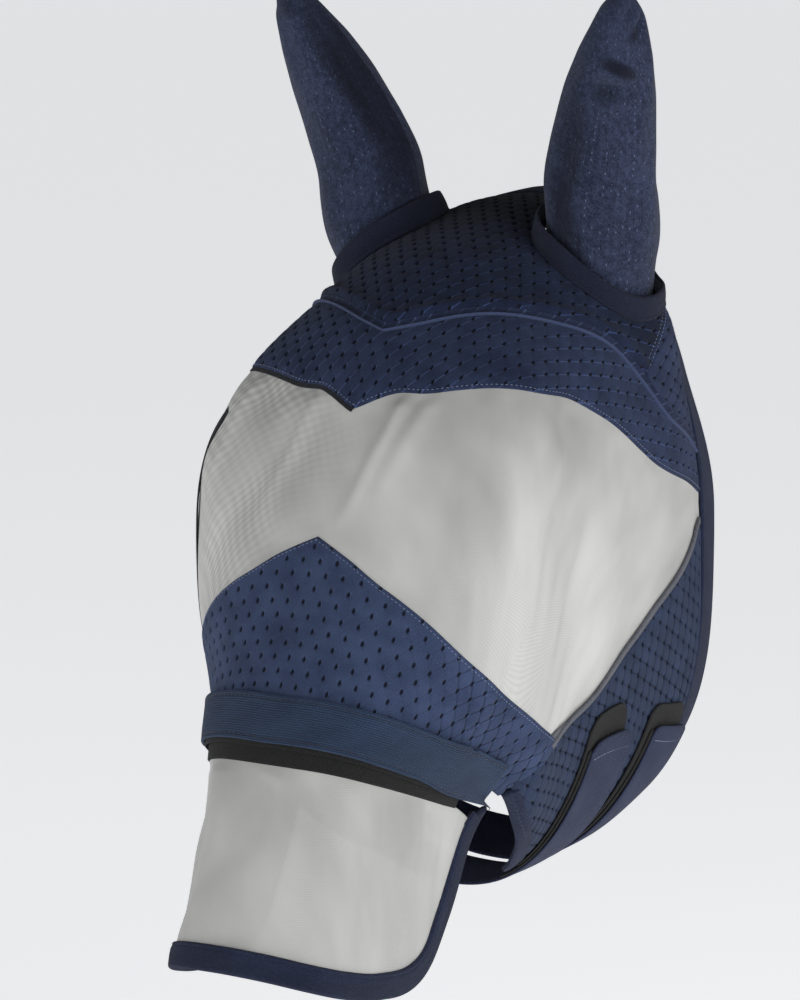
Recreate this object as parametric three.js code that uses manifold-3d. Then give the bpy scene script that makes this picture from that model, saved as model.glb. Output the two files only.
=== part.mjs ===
// Horse fly mask: soft spacer-mesh panels, see-through eye and muzzle mesh, ear covers,
// a nose band, edge bindings and two hook-and-loop throat straps.
//
// Units are millimetres. +Z is up and the horse looks along -Y, so +X is its left side.
// The origin is the poll: the inside of the crown on the centre line, between the ears.

import * as THREE from 'three';
import { mergeVertices } from 'three/addons/utils/BufferGeometryUtils.js';
import Module from 'manifold-3d';

const wasm = await Module();
wasm.setup();

// ---------------------------------------------------------------- driving dimensions

const SPACER = 2.6;             // thickness of the spacer-mesh panels
const SHEER = 1.2;              // thickness given to the see-through mesh
const SEAM = 0.9;               // bench gap left between neighbouring panels
const BINDING_IN = -0.6;        // edge bindings wrap both faces of a panel
const BINDING_OUT = 3.0;
const REAR_BINDING = 24;        // binding widths
const JAW_BINDING = 15;
const FLAP_BINDING = 15;
const PIPING_WIDTH = 8;
const BAND_WIDTH = 26.5;
const BAND_LAYER = [4.8, 6.5];  // layers are [inner, outer] heights above the head form
const NOSE_HOOK_LAYER = [3.25, 4.0];
const LOOP_LAYER = [3.8, 4.8];
const HOOK_LAYER = [5.3, 6.1];
const STRAP_LAYER = [6.7, 8.3];
const STRAP_ROOT_LAYER = [4.0, 5.6];
const FRONT_STRAP_WIDTH = 41;
const REAR_STRAP_WIDTH = 43;
const STRAP_LENGTH = 190;       // nominal lengths, which set how blunt the rounded tips are
const PATCH_LENGTH = 80;
const TIP_RADIUS = 16;
const STRAP_HINGE = 1.098;      // round-the-jaw position of the strap's fold line
const STRAP_ROOT_START = 0.6;   // share of the strap at which it starts to sink to its root's layer
const PATCH_LEAD = 0.027;       // how far round the cheek a loop patch shows above its strap
const PATCH_REACH = 0.52;       // share of the strap's line that the loop patch runs along

const EAR_BASE = new THREE.Vector3(69, -10, -27);
const EAR_TIP = new THREE.Vector3(110, -62, 130);
const EAR_WALL = 1.5;
const EAR_DEPTH = 0.76;         // depth of the ear cover over its width, away from the base
const EAR_HOLE = 34;            // radius of the crown's ear hole, about the ear's axis
const COLLAR = { bottom: 40, top: 36.8, wall: 2.4, height: 12 };

// Half widths of the ear cover, as [share of its length, half width].
const EAR_PROFILE = [
  [0.00, 32.2], [0.12, 32.6], [0.27, 33.5], [0.45, 31], [0.64, 26.5], [0.78, 21.5], [0.90, 14.5],
  [0.975, 6.5],
];

// ---------------------------------------------------------------- the head form
//
// The form is a loft of closed sections, from the mask's rear edge (along = 0) over the brow
// and the eyes to the nose band (along = 1) and on to the end of the muzzle flap (1.4).
// "round" goes from the top centre line (0) down the horse's left side to the jaw (1), and
// with a minus sign down its right side. Each section stands between a top point and a jaw
// point, [y, z], and swells to its half width at a share of its height. The last four numbers
// are superellipse exponents: above and below the widest line, along the height and the width.

const section = (along, top, jaw, half, widest, shape) => ({ along, top, jaw, half, widest, shape });
const SECTIONS = [
  section(0.00, [64, 4], [60, -356], 108, 0.57, [0.90, 0.98, 0.72, 0.68]),
  section(0.16, [0, 0], [14, -376], 115, 0.47, [0.88, 0.94, 0.80, 0.78]),
  section(0.34, [-84, -24], [-35, -384], 114, 0.38, [0.90, 0.93, 0.90, 0.86]),
  section(0.50, [-148, -69], [-68, -386], 111, 0.32, [0.90, 0.93, 0.92, 0.90]),
  section(0.66, [-196, -140], [-90, -382], 103, 0.31, [1.1, 0.84, 0.95, 0.88]),
  section(0.82, [-230, -210], [-90, -368], 81, 0.34, [1.15, 0.84, 0.95, 0.88]),
  section(1.00, [-264, -274], [-62, -348], 65, 0.40, [1.00, 0.82, 0.95, 0.85]),
  section(1.40, [-313, -386], [-125, -465], 55, 0.4, [0.85, 0.82, 0.95, 0.85]),
];
const SECTION_ROWS = SECTIONS.map((s) => [...s.top, ...s.jaw, s.half, s.widest, ...s.shape]);
const EYE = { along: 0.58, round: 0.27, lift: 14, reachAlong: 0.13, reachRound: 0.11 };

const clamp = (value, low, high) => Math.min(high, Math.max(low, value));
const mix = (a, b, t) => a + (b - a) * t;

// Slope of a column of the section table at one section, by central differences.
function sectionSlope(row, column) {
  const here = SECTION_ROWS[row][column];
  const before = row > 0 ? SECTIONS[row].along - SECTIONS[row - 1].along : 0;
  const after = row < SECTIONS.length - 1 ? SECTIONS[row + 1].along - SECTIONS[row].along : 0;
  const rise = row > 0 ? (here - SECTION_ROWS[row - 1][column]) / before : 0;
  const fall = after > 0 ? (SECTION_ROWS[row + 1][column] - here) / after : 0;
  if (row === 0) return fall;
  if (after === 0) return rise;
  return (rise * after + fall * before) / (before + after);
}

function sectionAt(along) {
  let row = 0;
  while (row < SECTIONS.length - 2 && along >= SECTIONS[row + 1].along) row += 1;
  const step = SECTIONS[row + 1].along - SECTIONS[row].along;
  const t = (along - SECTIONS[row].along) / step;
  const [t2, t3] = [t * t, t * t * t];
  return SECTION_ROWS[row].map((value, column) => (
    (2 * t3 - 3 * t2 + 1) * value
    + (t3 - 2 * t2 + t) * step * sectionSlope(row, column)
    + (3 * t2 - 2 * t3) * SECTION_ROWS[row + 1][column]
    + (t3 - t2) * step * sectionSlope(row + 1, column)
  ));
}

function formPoint(along, round) {
  const [topY, topZ, jawY, jawZ, half, widest, upHeight, upWidth, lowHeight, lowWidth] = sectionAt(along);
  const angle = Math.PI * round;
  const [c, s] = [Math.cos(angle), Math.sin(angle)];
  const height = Math.hypot(topY - jawY, topZ - jawZ);
  const up = [(topY - jawY) / height, (topZ - jawZ) / height];
  const rise = c > 0
    ? widest * height * c ** upHeight
    : -(1 - widest) * height * (-c) ** lowHeight;
  const wrapped = Math.abs(((round + 1) % 2) - 1);
  const eye = EYE.lift * Math.exp(
    -(((along - EYE.along) / EYE.reachAlong) ** 2) - ((wrapped - EYE.round) / EYE.reachRound) ** 2,
  );
  const reach = half * Math.abs(s) ** (c > 0 ? upWidth : lowWidth) + eye * 0.9;
  const lift = rise - widest * height + eye * 0.35;
  return new THREE.Vector3(reach * Math.sign(s), topY + up[0] * lift, topZ + up[1] * lift);
}

const STEP = 0.004;             // step of the finite differences on the form

function tangents(along, round) {
  const alongStep = formPoint(along + STEP, round).sub(formPoint(along - STEP, round));
  const roundStep = formPoint(along, round + STEP).sub(formPoint(along, round - STEP));
  return [alongStep.divideScalar(2 * STEP), roundStep.divideScalar(2 * STEP)];
}

// A point at a height above the form, along its outward normal.
function surface(along, round, height) {
  const [du, dv] = tangents(along, round);
  return formPoint(along, round).addScaledVector(du.cross(dv).normalize(), height);
}

// ---------------------------------------------------------------- seam lines on the form
//
// A line is a smooth curve through [along, round] points on the horse's left side.

function line(points) {
  const stations = points.map(([along, round]) => new THREE.Vector3(along, round, 0));
  const curve = new THREE.CatmullRomCurve3(stations, false, 'catmullrom');
  return (t) => {
    const p = curve.getPoint(clamp(t, 0, 1));
    return [p.x, p.y];
  };
}

// The same line moved sideways over the form by a distance in mm: a line that runs down the
// side moves forward, and one that runs forward moves up.
function beside(path, distance) {
  return (t) => {
    const [a0, r0] = path(t - 0.002);
    const [a1, r1] = path(t + 0.002);
    const [along, round] = path(t);
    const [da, dr] = [a1 - a0, r1 - r0];
    const [du, dv] = tangents(along, round);
    const [e, f, g] = [du.dot(du), du.dot(dv), dv.dot(dv)];
    const [p, q] = [f * da + g * dr, -(e * da + f * dr)];
    const length = Math.sqrt(e * p * p + 2 * f * p * q + g * q * q);
    const move = typeof distance === 'function' ? distance(t) : distance;
    return [along + (p * move) / length, round + (q * move) / length];
  };
}

const part = (path, from, to) => (t) => path(mix(from, to, t));

// The mask's free edge on one side: down behind the cheek, under the jaw, and forward to the band.
const OUTLINE_POINTS = [
  [0, 0], [0, 0.12], [0, 0.25], [0, 0.38], [0, 0.50], [0, 0.61], [0.002, 0.70], [0.022, 0.78], [0.065, 0.84],
  [0.14, 0.885], [0.25, 0.905], [0.36, 0.912], [0.46, 0.908], [0.55, 0.878], [0.635, 0.828], [0.71, 0.777],
  [0.77, 0.727], [0.83, 0.683],
];
const OUTLINE = line(OUTLINE_POINTS);
const outlineAt = (index) => index / (OUTLINE_POINTS.length - 1);
const CROWN_END = outlineAt(2.05);
const CHEEK_START = outlineAt(4.95);
const REAR_END = outlineAt(7.4);
const JAW_START = outlineAt(9);
const JAW_END = outlineAt(12.4);
const FRONT_END = outlineAt(16.6);
const narrowed = (t) => clamp((t - REAR_END) / (JAW_START - REAR_END), 0, 1);
const bindingWidth = (t) => mix(REAR_BINDING, JAW_BINDING, narrowed(t));
const INNER_EDGE = beside(OUTLINE, bindingWidth);

const PIPING = line([
  [0.463, 0], [0.440, 0.059], [0.388, 0.154], [0.340, 0.224], [0.278, 0.294], [0.233, 0.357], [0.180, 0.404],
  [0.076, 0.428],
]);
const BROW_EDGE = line([
  [0.568, 0], [0.545, 0.055], [0.530, 0.124], [0.470, 0.259], [0.408, 0.326], [0.357, 0.377], [0.275, 0.438],
  [0.205, 0.463], [0.076, 0.469],
]);
const NOSE_EDGE = line([
  [0.710, 0], [0.750, 0.070], [0.763, 0.155], [0.768, 0.250], [0.772, 0.340], [0.762, 0.440], [0.700, 0.545],
  [0.590, 0.644],
]);
const CHEEK_EDGE = line([
  [0.077, 0.511], [0.180, 0.557], [0.270, 0.593], [0.380, 0.624], [0.465, 0.642], [0.575, 0.655],
  [0.680, 0.650], [0.770, 0.648],
]);
const TRIM_EDGE = line([
  [0.077, 0.495], [0.180, 0.524], [0.278, 0.555], [0.370, 0.583], [0.490, 0.610], [0.610, 0.618],
]);
const EYE_LOWER = line([
  [0.706, 0], [0.744, 0.070], [0.757, 0.155], [0.762, 0.250], [0.766, 0.340], [0.755, 0.438], [0.695, 0.538],
  [0.600, 0.604], [0.485, 0.605], [0.368, 0.579], [0.276, 0.551], [0.078, 0.491],
]);
const BAND = line([
  [0.948, 0], [0.945, 0.090], [0.943, 0.170], [0.941, 0.250], [0.938, 0.340], [0.928, 0.440], [0.902, 0.530],
  [0.860, 0.598], [0.800, 0.652],
]);
const FLAP_EDGE = line([
  [1.387, 0], [1.388, 0.12], [1.390, 0.25], [1.388, 0.36], [1.378, 0.46], [1.350, 0.545], [1.300, 0.600],
  [1.230, 0.617], [1.150, 0.620], [1.080, 0.625], [1.020, 0.632],
]);
const FRONT_STRAP = line([
  [0.365, 0.683], [0.372, 0.74], [0.378, 0.82], [0.378, 0.92], [0.376, 1.0], [0.376, 1.2],
]);
const REAR_STRAP = line([
  [0.124, 0.683], [0.145, 0.74], [0.166, 0.80], [0.176, 0.90], [0.178, 1.0], [0.178, 1.2],
]);

// ---------------------------------------------------------------- solids

function fromIndexed(points, faces) {
  const geometry = new THREE.BufferGeometry();
  geometry.setAttribute('position', new THREE.Float32BufferAttribute(points.flatMap((p) => p.toArray()), 3));
  geometry.setIndex(faces);
  return geometry;
}

function signedVolume(points, faces) {
  let volume = 0;
  for (let i = 0; i < faces.length; i += 3) {
    const [a, b, c] = [points[faces[i]], points[faces[i + 1]], points[faces[i + 2]]];
    volume += a.dot(new THREE.Vector3().crossVectors(b, c));
  }
  return volume / 6;
}

// A closed shell from a grid: place(s, t, side) gives the point at s, t in 0..1 on the inner
// (side 0) or outer (side 1) skin.
function shell(columns, rows, place) {
  const points = [];
  const index = (side, i, j) => (side * (columns + 1) + i) * (rows + 1) + j;
  for (const side of [0, 1]) {
    for (let i = 0; i <= columns; i += 1) {
      for (let j = 0; j <= rows; j += 1) points.push(place(i / columns, j / rows, side));
    }
  }
  const faces = [];
  const quad = (a, b, c, d) => faces.push(a, b, c, a, c, d);
  for (let i = 0; i < columns; i += 1) {
    for (let j = 0; j < rows; j += 1) {
      quad(index(1, i, j), index(1, i + 1, j), index(1, i + 1, j + 1), index(1, i, j + 1));
      quad(index(0, i, j), index(0, i, j + 1), index(0, i + 1, j + 1), index(0, i + 1, j));
    }
  }
  for (let i = 0; i < columns; i += 1) {
    quad(index(1, i + 1, 0), index(1, i, 0), index(0, i, 0), index(0, i + 1, 0));
    quad(index(1, i, rows), index(1, i + 1, rows), index(0, i + 1, rows), index(0, i, rows));
  }
  for (let j = 0; j < rows; j += 1) {
    quad(index(1, 0, j), index(1, 0, j + 1), index(0, 0, j + 1), index(0, 0, j));
    quad(index(1, columns, j + 1), index(1, columns, j), index(0, columns, j), index(0, columns, j + 1));
  }
  if (signedVolume(points, faces) < 0) faces.reverse();
  return fromIndexed(points, faces);
}

// A fabric panel between two lines. side is 1 (left), -1 (right) or 0 (both, joined on the
// centre line). layer is [inner, outer] height, or a function of the place along the lines.
function panel({ upper, lower, layer, side = 0, columns, rows }) {
  const heights = typeof layer === 'function' ? layer : () => layer;
  return shell(columns, rows, (s, t, skin) => {
    const across = side === 0 ? 2 * s - 1 : s;
    const sign = side === 0 ? Math.sign(across) || 1 : side;
    const place = Math.abs(across);
    const [a0, r0] = upper(place);
    const [a1, r1] = lower(place);
    const [along, round] = [mix(a0, a1, t), mix(r0, r1, t)];
    return surface(along, sign * round, heights(place)[skin]);
  });
}

// A strip that follows one line, between two distances beside it.
function strip({ path, from, to, ...rest }) {
  return panel({ upper: beside(path, from), lower: beside(path, to), ...rest });
}

// Half width of a strap along its length, rounded at its tip.
function tipWidth(width, length) {
  return (t) => {
    const gone = clamp(1 - (t * length) / TIP_RADIUS, 0, 1);
    return (width / 2) * mix(1, Math.sqrt(1 - gone * gone), 0.72);
  };
}

function toSolid(geometry) {
  const bare = new THREE.BufferGeometry();
  bare.setAttribute('position', geometry.getAttribute('position').clone());
  if (geometry.getIndex()) bare.setIndex(geometry.getIndex().clone());
  const merged = mergeVertices(bare, 1e-4);
  return new wasm.Manifold(new wasm.Mesh({
    numProp: 3,
    vertProperties: Float32Array.from(merged.getAttribute('position').array),
    triVerts: Uint32Array.from(merged.getIndex().array),
  }));
}

function toGeometry(solid) {
  const mesh = solid.getMesh();
  const geometry = new THREE.BufferGeometry();
  geometry.setAttribute('position', new THREE.BufferAttribute(Float32Array.from(mesh.vertProperties), 3));
  geometry.setIndex(Array.from(mesh.triVerts));
  return geometry;
}

// ---------------------------------------------------------------- ear covers
//
// Each ear cover is a sleeve about the ear's own axis, so that it can swivel in its round
// collar. It is cut in two, a front and a back panel, along its side seams.

const mirrorX = (p) => new THREE.Vector3(-p.x, p.y, p.z);
const EAR_AXIS = EAR_TIP.clone().sub(EAR_BASE).normalize();
const EAR_LENGTH = EAR_TIP.distanceTo(EAR_BASE);
const EAR_WIDE = new THREE.Vector3(1, 0, 0).addScaledVector(EAR_AXIS, -EAR_AXIS.x).normalize();
const EAR_DEEP = new THREE.Vector3().crossVectors(EAR_AXIS, EAR_WIDE);

// Where a line parallel to the ear's axis, at a radius and angle about it, meets the form at a
// height: the distance along the axis from the ear's base. Newton steps on the form.
function earFoot(radius, angle, height) {
  const start = EAR_BASE.clone()
    .addScaledVector(EAR_WIDE, radius * Math.cos(angle))
    .addScaledVector(EAR_DEEP, radius * Math.sin(angle));
  let [along, round, reach] = [0.16, 0.19, 0];
  for (let turn = 0; turn < 12; turn += 1) {
    const miss = surface(along, round, height).sub(start).addScaledVector(EAR_AXIS, -reach);
    const [du, dv] = tangents(along, round);
    const back = EAR_AXIS.clone().negate();
    const det = du.dot(new THREE.Vector3().crossVectors(dv, back));
    along = clamp(along - miss.dot(new THREE.Vector3().crossVectors(dv, back)) / det, 0.0, 0.45);
    round = clamp(round - du.dot(new THREE.Vector3().crossVectors(miss, back)) / det, -0.1, 0.5);
    reach -= du.dot(new THREE.Vector3().crossVectors(dv, miss)) / det;
  }
  return reach;
}

function earPoint(angle, distance, wide, deep) {
  return EAR_BASE.clone()
    .addScaledVector(EAR_AXIS, distance)
    .addScaledVector(EAR_WIDE, wide * Math.cos(angle))
    .addScaledVector(EAR_DEEP, deep * Math.sin(angle));
}

function earHalfWidth(share) {
  const next = Math.max(1, EAR_PROFILE.findIndex(([at]) => at >= share));
  const [[at0, w0], [at1, w1]] = [EAR_PROFILE[next - 1], EAR_PROFILE[next]];
  return mix(w0, w1, (share - at0) / (at1 - at0));
}

const EAR_CLOSED = EAR_PROFILE.at(-1)[0];
const SEAM_ANGLE = 0.02;        // half the bench gap at an ear cover's side seams, in radians

function earPanel(side, front) {
  const from = (front ? Math.PI : 0) + SEAM_ANGLE;
  return shell(11, 8, (s, t, skin) => {
    const angle = from + s * (Math.PI - 2 * SEAM_ANGLE);
    const foot = earFoot(EAR_PROFILE[0][1], angle, 0.4) / EAR_LENGTH;
    const share = mix(foot, EAR_CLOSED, t);
    const wide = earHalfWidth(clamp(share, 0, EAR_CLOSED)) - (skin === 0 ? EAR_WALL : 0);
    const flat = mix(1, EAR_DEPTH, clamp((share - 0.12) / 0.3, 0, 1));
    const point = earPoint(angle, share * EAR_LENGTH, wide, wide * flat);
    return side > 0 ? point : mirrorX(point);
  });
}

// The collar stands on the crown around the ear cover, a little wider at its foot.
function earCollar(side) {
  const segments = 30;
  const points = [];
  const corners = [
    [COLLAR.bottom - COLLAR.wall, 0], [COLLAR.bottom, 0], [COLLAR.top, COLLAR.height],
    [COLLAR.top - COLLAR.wall, COLLAR.height],
  ];
  for (let i = 0; i < segments; i += 1) {
    const angle = (2 * Math.PI * i) / segments;
    const foot = earFoot(COLLAR.bottom - COLLAR.wall / 2, angle, SPACER + 1.4);
    for (const [radius, rise] of corners) {
      const point = earPoint(angle, foot + rise, radius, radius);
      points.push(side > 0 ? point : mirrorX(point));
    }
  }
  const faces = [];
  for (let i = 0; i < segments; i += 1) {
    const next = (i + 1) % segments;
    for (let k = 0; k < corners.length; k += 1) {
      const other = (k + 1) % corners.length;
      const [a, b, c, d] = [i * 4 + k, next * 4 + k, next * 4 + other, i * 4 + other];
      faces.push(a, b, c, a, c, d);
    }
  }
  if (signedVolume(points, faces) < 0) faces.reverse();
  return fromIndexed(points, faces);
}

// The round cutter of one ear hole.
function earHole(side) {
  const cutter = new THREE.CylinderGeometry(EAR_HOLE, EAR_HOLE, 120, 32);
  const axis = side > 0 ? EAR_AXIS : mirrorX(EAR_AXIS);
  cutter.applyQuaternion(new THREE.Quaternion().setFromUnitVectors(new THREE.Vector3(0, 1, 0), axis));
  const base = side > 0 ? EAR_BASE : mirrorX(EAR_BASE);
  cutter.translate(base.x, base.y, base.z);
  return toSolid(cutter);
}

// ---------------------------------------------------------------- finishes

const finish = (color, roughness) => new THREE.MeshStandardMaterial({ color, roughness, metalness: 0 });
const SPACER_MESH = finish(0x2f3b57, 0.85);
const EAR_KNIT = finish(0x303850, 0.9);
const BINDING_CLOTH = finish(0x2a3049, 0.9);
const BAND_WEB = finish(0x2b4160, 0.8);
const SHEER_MESH = finish(0xa4a4a2, 0.6);
const GREY_TRIM = finish(0x45474f, 0.8);
const HOOK_LOOP = finish(0x242425, 0.95);

// ---------------------------------------------------------------- pieces

const mask = new THREE.Group();

function add(name, geometry, material) {
  const mesh = new THREE.Mesh(geometry, material);
  mesh.name = name;
  mask.add(mesh);
}

const SIDES = [['left', 1], ['right', -1]];
const BINDING_RUNS = [
  ['rear', CROWN_END + 0.004, REAR_END, 18],
  ['jaw', REAR_END + 0.004, JAW_END - 0.002, 18],
  ['front', JAW_END + 0.002, FRONT_END, 12],
];
const spacerLayer = [0, SPACER];
const bindingLayer = [BINDING_IN, BINDING_OUT];

// Crown: over the poll, with a round hole for each ear.
const crown = toSolid(panel({
  upper: line([[0.065, 0], [0.066, 0.06], [0.067, 0.12], [0.068, 0.18], [0.070, 0.236]]),
  lower: beside(part(PIPING, 0, 0.705), -PIPING_WIDTH / 2 - SEAM),
  layer: spacerLayer,
  columns: 22,
  rows: 9,
}));
const crownCut = SIDES.reduce((solid, [, side]) => solid.subtract(earHole(side)), crown);
add('crown_panel', toGeometry(crownCut), SPACER_MESH);

add('brow_piping', strip({
  path: PIPING,
  from: -PIPING_WIDTH / 2,
  to: PIPING_WIDTH / 2,
  layer: [0, 4.4],
  columns: 36,
  rows: 1,
}), BINDING_CLOTH);

add('brow_panel', panel({
  upper: beside(PIPING, PIPING_WIDTH / 2 + SEAM),
  lower: beside(BROW_EDGE, -SEAM),
  layer: spacerLayer,
  columns: 36,
  rows: 3,
}), SPACER_MESH);

add('eye_mesh', panel({
  upper: beside(BROW_EDGE, SEAM),
  lower: EYE_LOWER,
  layer: [0, SHEER],
  columns: 36,
  rows: 7,
}), SHEER_MESH);

add('nose_panel', panel({
  upper: beside(NOSE_EDGE, SEAM),
  lower: line([
    [0.966, 0], [0.966, 0.09], [0.965, 0.17], [0.966, 0.26], [0.968, 0.34], [0.962, 0.43], [0.915, 0.55],
    [0.790, 0.634],
  ]),
  layer: spacerLayer,
  columns: 28,
  rows: 4,
}), SPACER_MESH);

add('nose_hook_strip', strip({
  path: part(BAND, 0, 0.80),
  from: BAND_WIDTH / 2 - 9.5,
  to: BAND_WIDTH / 2 + 2.5,
  layer: NOSE_HOOK_LAYER,
  columns: 36,
  rows: 1,
}), HOOK_LOOP);

add('nose_band', strip({
  path: BAND,
  from: -BAND_WIDTH / 2,
  to: BAND_WIDTH / 2,
  layer: BAND_LAYER,
  columns: 40,
  rows: 2,
}), BAND_WEB);

add('crown_binding', strip({
  path: part(OUTLINE, 0, CROWN_END),
  from: 0,
  to: REAR_BINDING,
  layer: bindingLayer,
  columns: 16,
  rows: 1,
}), BINDING_CLOTH);

for (const [word, side] of SIDES) {
  add(`${word}_crown_gusset`, panel({
    upper: line([[0.073, 0.245], [0.125, 0.281], [0.160, 0.306], [0.195, 0.331], [0.212, 0.342]]),
    lower: beside(part(PIPING, 1, 0.73), PIPING_WIDTH / 2 + SEAM),
    layer: spacerLayer,
    side,
    columns: 8,
    rows: 6,
  }), SPACER_MESH);

  add(`${word}_eye_trim`, panel({
    upper: TRIM_EDGE,
    lower: beside(part(CHEEK_EDGE, 0, 0.72), SEAM),
    layer: [0, 1.8],
    side,
    columns: 14,
    rows: 1,
  }), GREY_TRIM);

  add(`${word}_cheek_panel`, panel({
    upper: beside(CHEEK_EDGE, -SEAM),
    lower: beside(part(OUTLINE, CHEEK_START, FRONT_END), (t) => (
      bindingWidth(mix(CHEEK_START, FRONT_END, t)) + 2 * SEAM
    )),
    layer: spacerLayer,
    side,
    columns: 20,
    rows: 5,
  }), SPACER_MESH);

  for (const [place, from, to, columns] of BINDING_RUNS) {
    add(`${word}_${place}_binding`, panel({
      upper: part(OUTLINE, from, to),
      lower: part(INNER_EDGE, from, to),
      layer: bindingLayer,
      side,
      columns,
      rows: 1,
    }), BINDING_CLOTH);
  }

  add(`${word}_ear_collar`, earCollar(side), BINDING_CLOTH);
  add(`${word}_ear_front`, earPanel(side, true), EAR_KNIT);
  add(`${word}_ear_back`, earPanel(side, false), EAR_KNIT);
}

// Throat straps: sewn to the right cheek, folded over at its lower edge, passed under the jaw
// and pressed on the loop patches of the left cheek.
const STRAPS = [
  { word: 'front', path: FRONT_STRAP, width: FRONT_STRAP_WIDTH, lead: 4 },
  { word: 'rear', path: REAR_STRAP, width: REAR_STRAP_WIDTH, lead: 5 },
];
const STRAP_SPANS = 5;          // spans between the points of a strap's line
const LAST_SPAN = [1.0, 1.2];   // the round-the-jaw places at the ends of its last, straight span

for (const { word, path, width, lead } of STRAPS) {
  const hingeShare = (STRAP_HINGE - LAST_SPAN[0]) / (LAST_SPAN[1] - LAST_SPAN[0]);
  const hinge = (STRAP_SPANS - 1 + hingeShare) / STRAP_SPANS;
  const strapRun = part(path, 0, hinge - 0.004);
  const halfWidth = tipWidth(width, STRAP_LENGTH);
  add(`${word}_strap`, panel({
    upper: beside(strapRun, (t) => -halfWidth(t)),
    lower: beside(strapRun, (t) => halfWidth(t)),
    layer: (t) => {
      const sunk = clamp((t - STRAP_ROOT_START) / (1 - STRAP_ROOT_START), 0, 1);
      return STRAP_LAYER.map((height, skin) => mix(height, STRAP_ROOT_LAYER[skin], sunk));
    },
    side: 1,
    columns: 26,
    rows: 2,
  }), BINDING_CLOTH);

  add(`${word}_strap_anchor`, strip({
    path: part(path, hinge + 0.004, hinge + 0.09),
    from: -width / 2,
    to: width / 2,
    layer: STRAP_ROOT_LAYER,
    side: 1,
    columns: 5,
    rows: 2,
  }), BINDING_CLOTH);

  add(`${word}_hook_pad`, strip({
    path: part(path, 0.03, 0.42),
    from: -width / 2 + 4,
    to: width / 2 - 1,
    layer: HOOK_LAYER,
    side: 1,
    columns: 10,
    rows: 2,
  }), HOOK_LOOP);

  const patchRun = (t) => {
    const [along, round] = path(mix(0, PATCH_REACH, t));
    return [along, mix(round - PATCH_LEAD, round, t)];
  };
  const patchHalf = tipWidth(width, PATCH_LENGTH);
  add(`${word}_loop_patch`, panel({
    upper: beside(patchRun, (t) => -patchHalf(t) + lead),
    lower: beside(patchRun, (t) => patchHalf(t) + lead),
    layer: LOOP_LAYER,
    side: 1,
    columns: 12,
    rows: 2,
  }), HOOK_LOOP);
}

// Muzzle flap: hangs from the nose band over the nostrils.
add('flap_loop_strip', panel({
  upper: line([[0.9920, 0], [0.992, 0.15], [0.997, 0.30], [1.003, 0.42], [1.010, 0.535]]),
  lower: line([[1.0100, 0], [1.010, 0.15], [1.015, 0.30], [1.021, 0.42], [1.028, 0.535]]),
  layer: [0, 1.8],
  columns: 28,
  rows: 1,
}), HOOK_LOOP);

add('flap_mesh', panel({
  upper: line([[1.0135, 0], [1.0135, 0.15], [1.0185, 0.30], [1.0245, 0.42], [1.032, 0.530]]),
  lower: beside(part(FLAP_EDGE, 0, 0.93), -FLAP_BINDING - SEAM),
  layer: [0, SHEER],
  columns: 28,
  rows: 5,
}), SHEER_MESH);

add('flap_binding', strip({
  path: FLAP_EDGE,
  from: -FLAP_BINDING,
  to: 0,
  layer: bindingLayer,
  columns: 48,
  rows: 1,
}), BINDING_CLOTH);

export default mask;
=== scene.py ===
# Horse fly mask: the sewn cloth, see-through mesh, tapes and stitches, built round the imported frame.
#
# Lengths are metres. +Z is up and the horse looks along -Y, so +X is its left side, and the origin
# is the poll. A place on the mask is [along, round] on a head form: along runs from the rear edge
# (0) over the brow to the nose band (1) and the end of the muzzle flap (1.4), and round goes from
# the top centre line (0) down the left side to the jaw (1), with a minus sign on the right side.

import math

import bmesh
import bpy
import numpy as np
from mathutils import Matrix, Vector


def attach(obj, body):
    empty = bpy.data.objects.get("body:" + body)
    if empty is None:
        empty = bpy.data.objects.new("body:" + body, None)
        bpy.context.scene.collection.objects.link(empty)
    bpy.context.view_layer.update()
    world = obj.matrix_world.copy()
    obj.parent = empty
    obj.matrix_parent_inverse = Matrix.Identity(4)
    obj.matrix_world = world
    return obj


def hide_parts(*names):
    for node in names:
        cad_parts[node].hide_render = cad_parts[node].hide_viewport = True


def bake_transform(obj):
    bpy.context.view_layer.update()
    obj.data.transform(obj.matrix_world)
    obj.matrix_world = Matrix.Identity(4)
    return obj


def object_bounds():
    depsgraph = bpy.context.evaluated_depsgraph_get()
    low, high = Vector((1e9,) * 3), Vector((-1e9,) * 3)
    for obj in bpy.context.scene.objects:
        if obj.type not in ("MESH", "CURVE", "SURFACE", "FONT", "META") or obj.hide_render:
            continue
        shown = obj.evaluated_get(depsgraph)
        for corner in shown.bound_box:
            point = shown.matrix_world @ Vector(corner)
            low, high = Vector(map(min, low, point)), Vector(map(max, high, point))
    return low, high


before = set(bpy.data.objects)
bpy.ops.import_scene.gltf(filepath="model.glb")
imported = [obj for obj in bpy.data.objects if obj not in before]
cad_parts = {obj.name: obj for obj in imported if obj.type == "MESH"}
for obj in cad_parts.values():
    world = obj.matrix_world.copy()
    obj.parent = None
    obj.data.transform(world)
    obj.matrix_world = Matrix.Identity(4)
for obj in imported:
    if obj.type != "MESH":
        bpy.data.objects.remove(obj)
cad_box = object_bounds()

MM = 0.001

# ---------------------------------------------------------------- driving dimensions

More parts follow.
